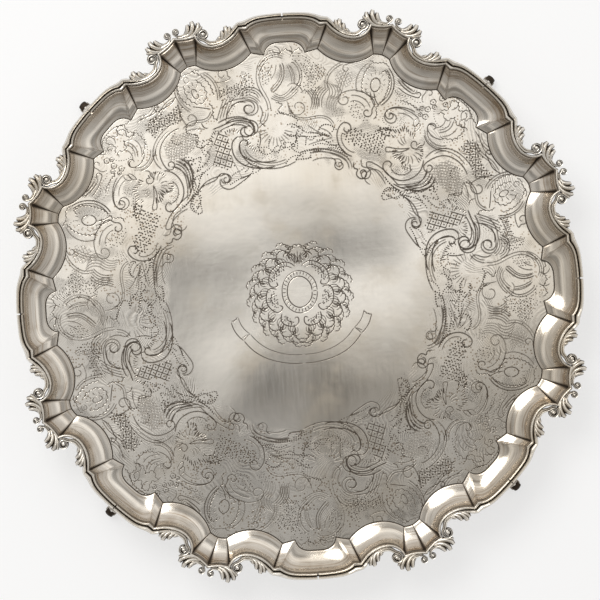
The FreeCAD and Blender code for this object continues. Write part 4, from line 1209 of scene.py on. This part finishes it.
def casting_pattern(plate, border):
    """One border casting in the plan of its sector, with its back on z = 0."""
    crest = plate.rim_radius / MM
    floor = crest - RIM_LINE["lobe"]
    arch, lobe, corner, bay = half_outline(BEAD_LINE, crest, **RIM_LINE)
    end = SECTOR_ANGLE / 2 - math.degrees(border.joint_gap / 2 / plate.rim_radius)
    bead_width = border.bead_width / MM
    bead_height = border.bead_height / MM
    moulding_height = border.moulding_height / MM
    moulding = crest - RIM_LINE["bay"] + border.moulding_width / MM
    cast = Cast()

    # Plain moulding from the joint to the corner, then round the corner and down to the lobe.
    inner = np.vstack([spline(bay[::-1], cast.step)[:-1], spline(corner[::-1], cast.step)])
    angles = np.degrees(np.arctan2(inner[:, 0], inner[:, 1]))
    inner, angles = inner[angles < end], angles[angles < end]
    edge_angles, shares = np.array(MOULDING_EDGE)[::-1].T
    edge = spline(polar(zip(edge_angles, moulding - shares * RIM_LINE["corner"]), 0.0), cast.step)
    reach = np.interp(angles, np.degrees(np.arctan2(edge[:, 0], edge[:, 1])), np.linalg.norm(edge, axis=1))
    outer = polar(zip(angles, reach), 0.0)
    cast.band(inner, outer, MOULDING_PROFILE, [moulding_height])
    inner = even(lobe[::-1][:4], 40)
    outer = even(np.vstack([outer[-1:], polar(SWEPT_EDGE, floor)]), 40)
    cast.band(inner, outer, MOULDING_PROFILE, [moulding_height, bead_height])

    # Bead round the lobe and the arch.
    for stretch in (lobe, arch):
        line = spline(stretch, cast.step)
        line += line / np.linalg.norm(line, axis=1)[:, None] * (bead_width / 2 + border.set_back / MM)
        cast.strip(line, [bead_width], [bead_height], BEAD_PROFILE)

    # Large scroll beside the arch, and the small one that meets its twin at the crest.
    large = border.scroll_radius / MM
    centre = arch[-1] + (bead_width * 0.7 + large, -0.4)
    cast.scroll(polar(SCROLL_BODY, floor), centre, large, border.scroll_width / MM,
                border.scroll_height / MM, 205, -450)
    small = border.small_scroll_radius / MM
    centre = np.array([small + 0.6, crest + 2.2 + small])
    cast.scroll(polar(SMALL_SCROLL_BODY, crest), centre, small, border.small_scroll_width / MM,
                border.small_scroll_height / MM, 240, -450)

    for leaves, reference in ((LOBE_LEAVES, floor), (CREST_LEAVES, crest)):
        for width, path in leaves:
            cast.leaf(polar(path, reference), width, border.leaf_height / MM)
    cast.mirrored()
    return cast


def build_castings(plate, border):
    """Eight castings from one pattern."""
    cast = casting_pattern(plate, border)
    plan = np.array(cast.vertices)
    pieces = []
    for index in range(SECTORS):
        turn = SECTOR_ANGLE / 2 + index * SECTOR_ANGLE - 90
        vertices = np.column_stack([turned(plan[:, :2], turn), plan[:, 2] + PLATE_HIGH.z / MM])
        piece = add_piece("border_%d" % (index + 1), vertices, cast.faces, "cast_silver",
                          "rim_casting_%d" % (index + 1))
        set_attribute(piece, "tarnish_and_shade", cast.tarnish_and_shade)
        sharpen(piece, 42)
        pieces.append(piece)
    return pieces


# ---------------------------------------------------------------- feet

def level_oval(middle, half_x, half_y, angle=18):
    """Level ring round a middle point, with a corner every angle degrees."""
    x, y = circle(angle).T
    return np.column_stack([middle[0] + half_x * x, middle[1] + half_y * y, np.full(len(x), middle[2])])


def lathe(cast, centre, profile, stain_and_shade):
    """Round body on a sideways axis, from (place on the axis, radius) pairs."""
    x, z = circle(15).T
    rows = [np.column_stack([centre[0] + radius * x, np.full(len(x), along), centre[1] + radius * z])
            for along, radius in profile]
    cast.skin(rows, [stain_and_shade] * len(rows))


def at_levels(levels, values, stations):
    """Values at the given levels, on a smooth curve through the values at the stations."""
    curve = spline(list(zip(values, stations)), 0.8)
    return np.interp(-levels, -curve[:, 1], curve[:, 0])


def foot_pattern(foot, top):
    """One scroll foot: its back at x = 0, its toe along +X and the table at z = 0."""
    # The darkening shares below are painted shade of the rim over the foot, with tarnish: light on the
    # bracket, more on the leg, darkest on the toe; the rib down the leg stays bright.
    cast = Cast()
    depth, width, height = foot.bracket_depth / MM, foot.bracket_width / MM, foot.bracket_height / MM
    ankle, splay = foot.ankle_width / MM, foot.splay / MM
    toe, toe_width = foot.toe_radius / MM, foot.toe_width / MM
    toe_x = depth / 2 + splay

    # Bracket under the flange: a small shield with a lobe on each side.
    turns = np.radians(np.arange(0, 360, 10))
    reach = 0.5 + 0.06 * np.cos(4 * turns)
    rows = []
    for level, share in ((top - height, 0.9), (top - height * 0.8, 1.0), (top - 0.3, 1.0), (top, 0.94)):
        rows.append(np.column_stack([depth / 2 + depth * share * reach * np.cos(turns) * 0.88,
                                     width * share * reach * np.sin(turns), np.full(len(turns), level)]))
    cast.skin(rows, [0.3] * len(rows))

    # Leg: knee, ankle and the sweep into the toe.
    stations = [top - height, top * 0.78, top * 0.5, top * 0.25, toe]
    levels = np.linspace(top - 0.4, toe, 28)
    half_width = at_levels(levels, [width * 0.40, width * 0.34, ankle * 0.5, ankle * 0.46, ankle * 0.52],
                           stations)
    middle = at_levels(levels, [depth / 2 + splay * share for share in (0.0, 0.2, 0.1, 0.45, 1.0)], stations)
    half_depth = np.interp(levels, [toe] + stations[3:0:-1] + [top], [1.9, 1.7, 1.8, 2.3, 2.2])
    rows = [level_oval((x, 0.0, z), deep, wide)
            for x, z, deep, wide in zip(middle, levels, half_depth, half_width)]
    cast.skin(rows, [0.45] * len(rows))

    # Rib down the front of the leg.
    rows = [level_oval((x + deep, 0.0, z), 0.45, 0.7, 45) for x, z, deep in zip(middle, levels, half_depth)]
    cast.skin(rows, [0.0] * len(rows))

    # Toe: a rolled scroll with its core and eye, and the flat under it, dark with painted shadow of the rim
    # and a painted dark reflection, with tarnish.
    band = toe * 0.36
    roll = np.array(coil((toe_x, toe), toe - band / 2, 0.6, 1.2, 100, -500, 39))
    outward = sideways(roll) * band
    if outward[0] @ (roll[0] - (toe_x, toe)) < 0:
        outward = -outward
    rows = [np.array([(x + lift * out_x, toe_width * wide, z + lift * out_z) for lift, wide in TOE_PROFILE])
            for (x, z), (out_x, out_z) in zip(roll, outward)]
    cast.skin(rows, [0.8] * len(rows))
    core = toe_width * 0.36
    lathe(cast, (toe_x, toe), [(-core, toe * 0.84), (core, toe * 0.84)], 0.95)
    eye = foot.toe_eye_radius / MM
    end = toe_width / 2 + foot.toe_eye_height / MM
    half_eye = [(end, eye * 0.35), (end - 0.25, eye * 0.8), (end - 0.7, eye)]
    lathe(cast, (toe_x, toe), [(-along, radius) for along, radius in half_eye] + half_eye[::-1], 0.5)
    pad = foot.pad_length / MM / 2
    cast.skin([level_oval((toe_x, 0.0, level), pad, toe_width * 0.44) for level in (0.0, 1.2)], [0.6] * 2)
    return cast


def build_feet(plate, foot):
    """Four feet under the plain bays on the diagonals."""
    cast = foot_pattern(foot, (PLATE_HIGH.z - plate.thickness) / MM)
    shape = np.array(cast.vertices)
    back = (plate.rim_radius + plate.thickness / 2 + foot.gap) / MM - RIM_LINE["bay"]
    pieces = []
    for number in range(QUARTERS):
        angle = 360.0 / QUARTERS * (number + 0.5)
        plan = turned(shape[:, :2] + (back, 0.0), angle)
        piece = add_piece("scroll_foot_%d" % (number + 1), np.column_stack([plan, shape[:, 2]]), cast.faces,
                          "foot_silver", "foot_%d" % (number + 1))
        set_attribute(piece, "tarnish_and_shade", cast.tarnish_and_shade)
        sharpen(piece, 42)
        pieces.append(piece)
    return pieces


# ---------------------------------------------------------------- finishes

class Wire:
    """A shader socket that Python expressions can use."""

    def __init__(self, shader, socket):
        self.shader = shader
        self.socket = socket

    def maths(self, operation, first, second=0.0):
        return self.shader.node("ShaderNodeMath", {"operation": operation}, {0: first, 1: second})

    def __add__(self, other):
        return self.maths("ADD", self, other)

    def __radd__(self, other):
        return self.maths("ADD", other, self)

    def __sub__(self, other):
        return self.maths("SUBTRACT", self, other)

    def __rsub__(self, other):
        return self.maths("SUBTRACT", other, self)

    def __mul__(self, other):
        return self.maths("MULTIPLY", self, other)

    def __rmul__(self, other):
        return self.maths("MULTIPLY", other, self)

    def __truediv__(self, other):
        return self.maths("DIVIDE", self, other)

    def __rtruediv__(self, other):
        return self.maths("DIVIDE", other, self)

    def __pow__(self, other):
        return self.maths("POWER", self, other)

    def __rpow__(self, other):
        return self.maths("POWER", other, self)

    def held(self):
        """Held between 0 and 1."""
        return self.shader.node("ShaderNodeClamp", {}, {"Value": self})

    def between(self, low, high):
        """Smooth step from 0 at low to 1 at high."""
        return self.shader.node("ShaderNodeMapRange", {"interpolation_type": "SMOOTHSTEP"},
                                {"Value": self, "From Min": low, "From Max": high})


class Shader:
    """Adds nodes to one node tree."""

    def __init__(self, owner):
        owner.use_nodes = True
        self.tree = owner.node_tree
        self.tree.nodes.clear()

    def node(self, kind, settings, values, output=0):
        """One node: its settings first, then the values or links of its sockets. Gives one output."""
        made = self.tree.nodes.new(kind)
        for name, value in settings.items():
            setattr(made, name, value)
        for name, value in values.items():
            socket = made.inputs[name]
            if isinstance(value, Wire):
                self.tree.links.new(value.socket, socket)
            else:
                socket.default_value = value
        return Wire(self, made.outputs[output]) if made.outputs else None

    def mix(self, first, second, factor):
        """Colour between two colours."""
        return self.node("ShaderNodeMix", {"data_type": "RGBA"}, {0: factor, 6: first, 7: second}, 2)

    def noise(self, place, scale, detail=3.0, rough=0.55):
        """Cloudy grey around a half."""
        return self.node("ShaderNodeTexNoise", {}, {"Vector": place, "Scale": scale, "Detail": detail,
                                                    "Roughness": rough})

    def stretched(self, place, x, y, z):
        """The place with each of its axes scaled."""
        return self.node("ShaderNodeVectorMath", {"operation": "MULTIPLY"}, {0: place, 1: (x, y, z)})

    def place(self):
        """Place on the piece, in metres."""
        return self.node("ShaderNodeTexCoord", {}, {}, "Object")

    def axis(self, place, name):
        """One axis of a place."""
        return self.node("ShaderNodeSeparateXYZ", {}, {0: place}, name)

    def attribute(self, name):
        """A number that the mesh holds at its vertices."""
        return self.node("ShaderNodeAttribute", {"attribute_name": name}, {}, "Fac")


def opaque(colour):
    return (*colour, 1.0)


def silver(name, finish, stain_and_shade, roughness, hammering, texture=None):
    """Worn silver. The darkening function gives the share of tarnish at a place, with painted shade on the
    cavetto, castings and feet; texture gives the fine relief and the brown film of a worked face, which on
    the cavetto is partly a painted reflection."""
    material = bpy.data.materials.new(name)
    shader = Shader(material)
    place = shader.place()
    cloud = shader.noise(place, 9.0, 4.0)
    patch = shader.noise(place, 38.0, 4.0, 0.6)
    speck = shader.noise(place, 420.0, 2.0)
    scratch = shader.noise(shader.stretched(place, 900.0, 60.0, 400.0), 1.0, 2.0)
    cross = shader.noise(shader.stretched(place, 50.0, 800.0, 400.0), 1.0, 2.0)
    dark = stain_and_shade(shader, place)
    relief = shader.noise(place, 9.0, 1.0) * hammering + shader.noise(place, 90.0, 2.0) * 0.02 \
        + scratch * 0.0016 + cross * 0.0016

    warm = (cloud.between(0.42, 0.66) * 0.6 + patch.between(0.5, 0.75) * 0.4).held()
    colour = shader.mix(opaque(finish.silver), opaque(finish.warm), warm)
    if texture:
        flow, film = texture(shader, place)
        colour = shader.mix(colour, opaque(finish.brown), film)
        relief = relief + flow * 0.014
    # Brown film and black tarnish follow the darkening share, so they also paint its shade.
    colour = shader.mix(colour, opaque(finish.brown), (dark * 1.5 * speck.between(0.2, 0.5)).held() * 0.55)
    colour = shader.mix(colour, opaque(finish.tarnish_and_shade), dark.between(0.12, 0.82))
    rough = (roughness + cloud * 0.05 + scratch * 0.05 + patch.between(0.55, 0.8) * 0.06 + dark * 0.5).held()
    normal = shader.node("ShaderNodeBump", {}, {"Height": relief, "Strength": 1.0, "Distance": 0.001})
    surface = shader.node("ShaderNodeBsdfPrincipled", {}, {
        "Base Color": colour, "Metallic": 1.0, "Roughness": rough, "Normal": normal}, "BSDF")
    shader.node("ShaderNodeOutputMaterial", {}, {"Surface": surface})
    return material


def worked_face(shader, place):
    """1 on the chased face of the sheet, 0 on its back."""
    return (shader.axis(place, "Z") - PLATE_LOW.z).between(0.0004, 0.0008)


def groove_stain(shader, place):
    """Tarnish at the bottom of the chasing, by depth below the field."""
    top = PLATE_LOW.z + bpy.context.scene.salver_plate.thickness
    full_depth = 0.00005
    return ((top - shader.axis(place, "Z")) / full_depth).held() * worked_face(shader, place) * 0.66


def chased_ground(shader, place):
    """Fine curved hatching and sparse punch marks in the band between the centre and the cavetto."""
    x, y = shader.axis(place, "X"), shader.axis(place, "Y")
    wander = shader.noise(place, 28.0, 2.0) * 0.014
    band = ((x * x + y * y) ** 0.5 + wander).between(0.0965, 0.1015) * worked_face(shader, place)
    warp = shader.node("ShaderNodeTexNoise", {}, {"Vector": place, "Scale": 30.0, "Detail": 1.0}, "Color")
    swirled = shader.node("ShaderNodeVectorMath", {"operation": "MULTIPLY_ADD"},
                          {0: warp, 1: (0.05, 0.05, 0.05), 2: place})
    lines = shader.node("ShaderNodeTexWave", {"wave_type": "RINGS", "rings_direction": "Z"},
                        {"Vector": swirled, "Scale": 190.0, "Distortion": 2.0, "Detail": 1.0,
                         "Detail Scale": 2.0}, "Fac")
    marks = shader.node("ShaderNodeTexVoronoi", {}, {"Vector": place, "Scale": 500.0, "Randomness": 0.8},
                        "Distance")
    worked = shader.noise(place, 70.0, 1.0)
    punched = (0.36 - marks).between(0.0, 0.12) * worked.between(0.55, 0.6) * band
    flow = 0.5 + (lines - 0.5) * band * worked.between(0.55, 0.42)
    return flow, (flow.between(0.52, 0.2) * 0.16 + punched * 0.8).held()


def streaks_and_painted_reflection(shader, place):
    """Brown streaks that run round the cavetto and a film that grows towards its lip: partly old tarnish and
    polish, partly a painted reflection of the room.
    """
    across = shader.attribute("across")
    lengthways = shader.stretched(place, 26.0, 26.0, 0.0)
    track = shader.node("ShaderNodeCombineXYZ", {}, {2: across * 16.0})
    spot = shader.node("ShaderNodeVectorMath", {"operation": "ADD"}, {0: lengthways, 1: track})
    streak = shader.noise(spot, 1.0, 3.0, 0.6)
    grime = shader.noise(place, 55.0, 3.0)
    dents = shader.noise(place, 60.0, 1.0) * 7.0
    # Film along the streaks and towards the lip: partly tarnish, partly a painted dark reflection.
    tint = streak.between(0.48, 0.70) * 0.6 + grime.between(0.5, 0.72) * 0.3 + across.between(0.45, 1.0) * 0.5
    return streak * 0.5 + dents, (tint * 0.8 + 0.2).held()


def mesh_tarnish_and_shade(shader, place):
    """Tarnish and painted shade as the mesh gives them."""
    return shader.attribute("tarnish_and_shade")


def crevice_tarnish_and_shade(shader, place):
    """Tarnish and painted shade in the hollows of castings: as the mesh gives them, and ambient occlusion
    painted as shade wherever little sky shows.
    """
    # Ambient occlusion painted into the colour: painted shade in recesses.
    open_sky = shader.node("ShaderNodeAmbientOcclusion", {"samples": 8}, {"Distance": 0.001}, "AO")
    return (mesh_tarnish_and_shade(shader, place) * 0.9 + (1.0 - open_sky.between(0.05, 0.6)) * 0.7 + 0.05).held()


# ---------------------------------------------------------------- properties

def length_size(name, description, default):
    """A length that the user can change."""
    return FloatProperty(name=name, description=description, default=default, unit="LENGTH", precision=5)


def plain_colour(name, description, default):
    """A colour that the user can change."""
    return FloatVectorProperty(name=name, description=description, default=default, subtype="COLOR")


class SalverPlate(bpy.types.PropertyGroup):
    thickness: length_size("Sheet thickness", "Thickness of the raised sheet", 0.0013)
    centre_radius: length_size("Centre radius", "Radius of the centre piece with the cartouche", 0.080)
    drift: length_size("Hand drift", "Wander of the hand-drawn chasing", 0.0006)
    relief: FloatProperty(name="Relief", description="Depth of the chasing as a share of its full depth",
                          default=0.36, subtype="FACTOR")
    rim_radius: length_size("Rim radius", "Centre to the bead line at a cluster", 0.1954)
    mesh_step: length_size("Mesh step", "Length of a facet along the outlines", 0.0008)


class SalverCavetto(bpy.types.PropertyGroup):
    width: length_size("Width", "Plan width of the cavetto at a cluster", 0.019)
    step: length_size("Step", "Height of the sharp step round the field", 0.0006)
    lip: length_size("Lip", "Flat lip between the cavetto and the border", 0.0011)
    flange: length_size("Flange", "Width of the flange under the border", 0.0024)
    fold_depth: length_size("Fold depth", "Depth of the crease between two flutes", 0.0003)


class SalverBorder(bpy.types.PropertyGroup):
    joint_gap: length_size("Joint gap", "Solder gap between neighbouring castings", 0.0001)
    set_back: length_size("Set-back", "Bead clear of the lip of the sheet", 0.0004)
    bead_width: length_size("Bead width", "Bead along the lobes and arches", 0.0019)
    bead_height: length_size("Bead height", "Height of the bead above the flange", 0.0025)
    moulding_width: length_size("Moulding width", "Plain moulding of the bays", 0.0045)
    moulding_height: length_size("Moulding height", "Height of that moulding", 0.0035)
    scroll_radius: length_size("Scroll radius", "Large volute, outside", 0.0043)
    scroll_width: length_size("Scroll width", "Width of the large scroll", 0.0031)
    scroll_height: length_size("Scroll height", "Height of the large scroll", 0.0042)
    small_scroll_radius: length_size("Small scroll radius", "Small volute, outside", 0.0028)
    small_scroll_width: length_size("Small scroll width", "Width of the small scroll", 0.0024)
    small_scroll_height: length_size("Small scroll height", "Height of the small scroll", 0.0036)
    leaf_height: length_size("Leaf height", "Height of a finger", 0.0040)


class SalverFoot(bpy.types.PropertyGroup):
    bracket_width: length_size("Bracket width", "Bracket soldered under the flange", 0.013)
    bracket_depth: length_size("Bracket depth", "Bracket from back to front", 0.005)
    bracket_height: length_size("Bracket height", "Thickness of the bracket", 0.002)
    gap: length_size("Gap", "Bracket clear of the back of the cavetto", 0.00025)
    splay: length_size("Splay", "Bracket to toe, outwards", 0.0055)
    ankle_width: length_size("Ankle width", "Narrow part of the leg", 0.0058)
    toe_radius: length_size("Toe radius", "Rolled toe", 0.0042)
    toe_width: length_size("Toe width", "Length of the roll", 0.0066)
    toe_eye_radius: length_size("Toe eye radius", "Eye of the roll", 0.0017)
    toe_eye_height: length_size("Toe eye height", "How far the eye stands out", 0.0006)
    pad_length: length_size("Pad length", "Flat under the toe", 0.005)


class SalverFinish(bpy.types.PropertyGroup):
    silver: plain_colour("Silver", "Clean silver", (0.88, 0.84, 0.77))
    warm: plain_colour("Warm silver", "Silver with a thin warm film", (0.74, 0.67, 0.56))
    # The brown film and tarnish colours also paint shade on the cavetto, castings and feet, and the brown
    # film a reflection on the cavetto.
    brown: plain_colour("Brown film", "Thin tarnish beside a groove", (0.36, 0.28, 0.20))
    tarnish_and_shade: plain_colour("Tarnish", "Black tarnish in a groove", (0.05, 0.038, 0.028))


class SalverStage(bpy.types.PropertyGroup):
    floor_size: length_size("Floor size", "Radius of the floor", 4.0)
    floor_colour: plain_colour("Floor", "Colour of the floor", (0.98, 0.98, 0.98))
    floor_glow: FloatProperty(name="Floor glow", description="Share of its own white that the floor shows",
                              default=0.6, subtype="FACTOR")
    camera_height: length_size("Camera height", "Camera above the border", 1.8)
    frame_width: length_size("Frame width", "Width of the view at the border", 0.4116)
    view_shift: FloatProperty(name="View shift", description="Shift of the view, as a share of its width",
                              default=-0.0065)
    turn: FloatProperty(name="Turn", description="Turn of the salver in the view",
                        default=math.radians(-3.7), unit="ROTATION")


# ---------------------------------------------------------------- operators

def sheet_line(plate, cavetto):
    """Outlines of the sheet from its sizes."""
    bead = half_outline(BEAD_LINE, plate.rim_radius / MM, **RIM_LINE)
    field = half_outline(FIELD_LINE, (plate.rim_radius - cavetto.width) / MM, **FIELD_STEP)
    return SheetLine(field, bead, plate.mesh_step / MM)


def dress(pieces, material):
    """One finish on all the pieces."""
    for piece in pieces:
        piece.data.materials.append(material)


class SALVER_OT_cavetto(bpy.types.Operator):
    """Build the fluted cavetto"""
    bl_idname = "salver.cavetto"
    bl_label = "Cavetto"

    def execute(self, context):
        plate, cavetto = context.scene.salver_plate, context.scene.salver_cavetto
        dress(build_cavetto(plate, cavetto, sheet_line(plate, cavetto)),
              silver("cavetto_silver", context.scene.salver_finish, mesh_tarnish_and_shade, roughness=0.11,
                     hammering=0.9, texture=streaks_and_painted_reflection))
        return {"FINISHED"}


class SALVER_OT_field(bpy.types.Operator):
    """Build the chased field"""
    bl_idname = "salver.field"
    bl_label = "Chased field"

    def execute(self, context):
        plate, cavetto = context.scene.salver_plate, context.scene.salver_cavetto
        dress(build_field(plate, cavetto, sheet_line(plate, cavetto)),
              silver("field_silver", context.scene.salver_finish, groove_stain, roughness=0.06,
                     hammering=2.4, texture=chased_ground))
        return {"FINISHED"}


class SALVER_OT_border(bpy.types.Operator):
    """Build the eight border castings"""
    bl_idname = "salver.border"
    bl_label = "Border castings"

    def execute(self, context):
        scene = context.scene
        dress(build_castings(scene.salver_plate, scene.salver_border),
              silver("border_silver", scene.salver_finish, crevice_tarnish_and_shade, roughness=0.2, hammering=0.05))
        return {"FINISHED"}


class SALVER_OT_feet(bpy.types.Operator):
    """Build the four scroll feet"""
    bl_idname = "salver.feet"
    bl_label = "Feet"

    def execute(self, context):
        scene = context.scene
        dress(build_feet(scene.salver_plate, scene.salver_foot),
              silver("foot_silver", scene.salver_finish, crevice_tarnish_and_shade, roughness=0.2, hammering=0.08))
        return {"FINISHED"}


def add_floor(stage):
    """White floor that looks brighter than its light alone would make it."""
    bpy.ops.mesh.primitive_circle_add(vertices=96, radius=stage.floor_size, fill_type="NGON")
    floor = bpy.context.object
    floor.name = "floor"
    material = bpy.data.materials.new("floor_white")
    shader = Shader(material)
    rays = shader.node("ShaderNodeLightPath", {}, {}, "Is Camera Ray")
    mirrored = shader.node("ShaderNodeLightPath", {}, {}, "Is Glossy Ray")
    through = shader.node("ShaderNodeLightPath", {}, {}, "Is Transmission Ray")
    white = (1.0, 1.0, 1.0, 1.0)
    grain = shader.noise(shader.place(), 3.0) * 0.02
    lit = shader.node("ShaderNodeBsdfDiffuse", {},
                      {"Color": shader.mix(opaque(stage.floor_colour), white, grain)})
    glow = shader.node("ShaderNodeEmission", {}, {"Color": white, "Strength": 1.0})
    surface = shader.node("ShaderNodeMixShader", {}, {
        0: (rays + mirrored + through).held() * stage.floor_glow, 1: lit, 2: glow})
    shader.node("ShaderNodeOutputMaterial", {}, {"Surface": surface})
    floor.data.materials.append(material)


def studio():
    """Plain room: pale uneven walls with a bright shelf and a dark band under the ceiling, and a bright
    patch overhead, dark in its middle, with a dark ring round it."""
    world = bpy.data.worlds.new("studio")
    shader = Shader(world)
    direction = shader.node("ShaderNodeTexCoord", {}, {}, "Generated")
    x, y, z = [shader.axis(direction, name) for name in "XYZ"]

    sides = 0.61 + y * 0.22 + x * 0.06
    room = shader.noise(shader.stretched(direction, 2.2, 2.2, 9.0), 1.0, 2.0)
    shelf = z.between(0.48, 0.58) * z.between(0.76, 0.66)
    gloom = z.between(0.68, 0.77) * z.between(0.90, 0.83)
    walls = sides * (0.62 + room * 0.8) * (1.0 + shelf * 0.45 - gloom * 0.42)

    below = y + 0.031
    spot = (1.0 - (x * x + below * below) / 0.0028).held()
    outskirts = (x * x + y * y).between(0.0013, 0.0032)
    slope = y.between(-0.045, 0.008) * 0.36 + y.between(0.0, 0.045) * 0.32 + x * (x * 9.0 - 0.4)
    blotch = shader.noise(direction, 17.0, 3.0)
    ring = 0.32 + z.between(0.986, 0.995) * 0.68
    above = (0.32 + slope + outskirts * 0.12 - spot * 0.36) * (0.80 + blotch * 0.42) * ring

    glow = walls + (above - walls) * z.between(0.89, 0.965)
    tint = shader.node("ShaderNodeCombineColor", {}, {0: glow, 1: glow * 0.985, 2: glow * 0.965})
    light = shader.node("ShaderNodeBackground", {}, {"Color": tint})
    shader.node("ShaderNodeOutputWorld", {}, {"Surface": light})
    return world


def add_lamp(name, place, size, power, tint):
    """Round lamp that faces the origin."""
    data = bpy.data.lights.new(name, "AREA")
    data.shape = "DISK"
    data.size = size
    data.energy = power
    data.color = tint
    lamp = bpy.data.objects.new(name, data)
    lamp.location = place
    lamp.rotation_euler = Vector(place).to_track_quat("Z", "Y").to_euler()
    bpy.context.scene.collection.objects.link(lamp)


def add_camera(stage):
    """Camera straight above, with its frame at the height of the border."""
    data = bpy.data.cameras.new("camera")
    data.lens = data.sensor_width * stage.camera_height / stage.frame_width
    data.clip_end = 20.0
    data.shift_y = stage.view_shift
    camera = bpy.data.objects.new("camera", data)
    camera.location = (0.0, 0.0, cad_box[1][2] + stage.camera_height)
    camera.rotation_euler = (0, 0, stage.turn)
    bpy.context.scene.collection.objects.link(camera)
    bpy.context.scene.camera = camera


class SALVER_OT_stage(bpy.types.Operator):
    """Set up floor, light and camera"""
    bl_idname = "salver.stage"
    bl_label = "Stage"

    def execute(self, context):
        add_floor(context.scene.salver_stage)
        context.scene.world = studio()
        add_lamp("key_lamp", (-0.7, 1.1, 1.6), size=1.3, power=18.0, tint=(1.0, 0.99, 0.97))
        add_camera(context.scene.salver_stage)
        context.scene.view_settings.view_transform = "Standard"
        return {"FINISHED"}


class SALVER_PT_panel(bpy.types.Panel):
    """Lists the salver's sizes and pieces"""
    bl_label = "Silver salver"
    bl_idname = "SALVER_PT_panel"
    bl_space_type = "VIEW_3D"
    bl_region_type = "UI"
    bl_category = "Salver"

    def draw(self, context):
        for operator in OPERATORS:
            self.layout.operator(operator.bl_idname)
        for group_name, group in GROUPS.items():
            box = self.layout.box()
            for name in group.__annotations__:
                box.prop(getattr(context.scene, group_name), name)


GROUPS = {"salver_plate": SalverPlate, "salver_cavetto": SalverCavetto, "salver_border": SalverBorder,
          "salver_foot": SalverFoot, "salver_finish": SalverFinish, "salver_stage": SalverStage}
OPERATORS = (SALVER_OT_cavetto, SALVER_OT_field, SALVER_OT_border, SALVER_OT_feet, SALVER_OT_stage)
CLASSES = tuple(GROUPS.values()) + OPERATORS + (SALVER_PT_panel,)


def register():
    for item in CLASSES:
        bpy.utils.register_class(item)
    for name, group in GROUPS.items():
        setattr(bpy.types.Scene, name, PointerProperty(type=group))


def unregister():
    for name in GROUPS:
        delattr(bpy.types.Scene, name)
    for item in reversed(CLASSES):
        bpy.utils.unregister_class(item)


def main():
    register()
    bpy.ops.salver.cavetto()
    bpy.ops.salver.field()
    bpy.ops.salver.border()
    bpy.ops.salver.feet()
    bpy.ops.salver.stage()


if __name__ == "__main__":
    main()
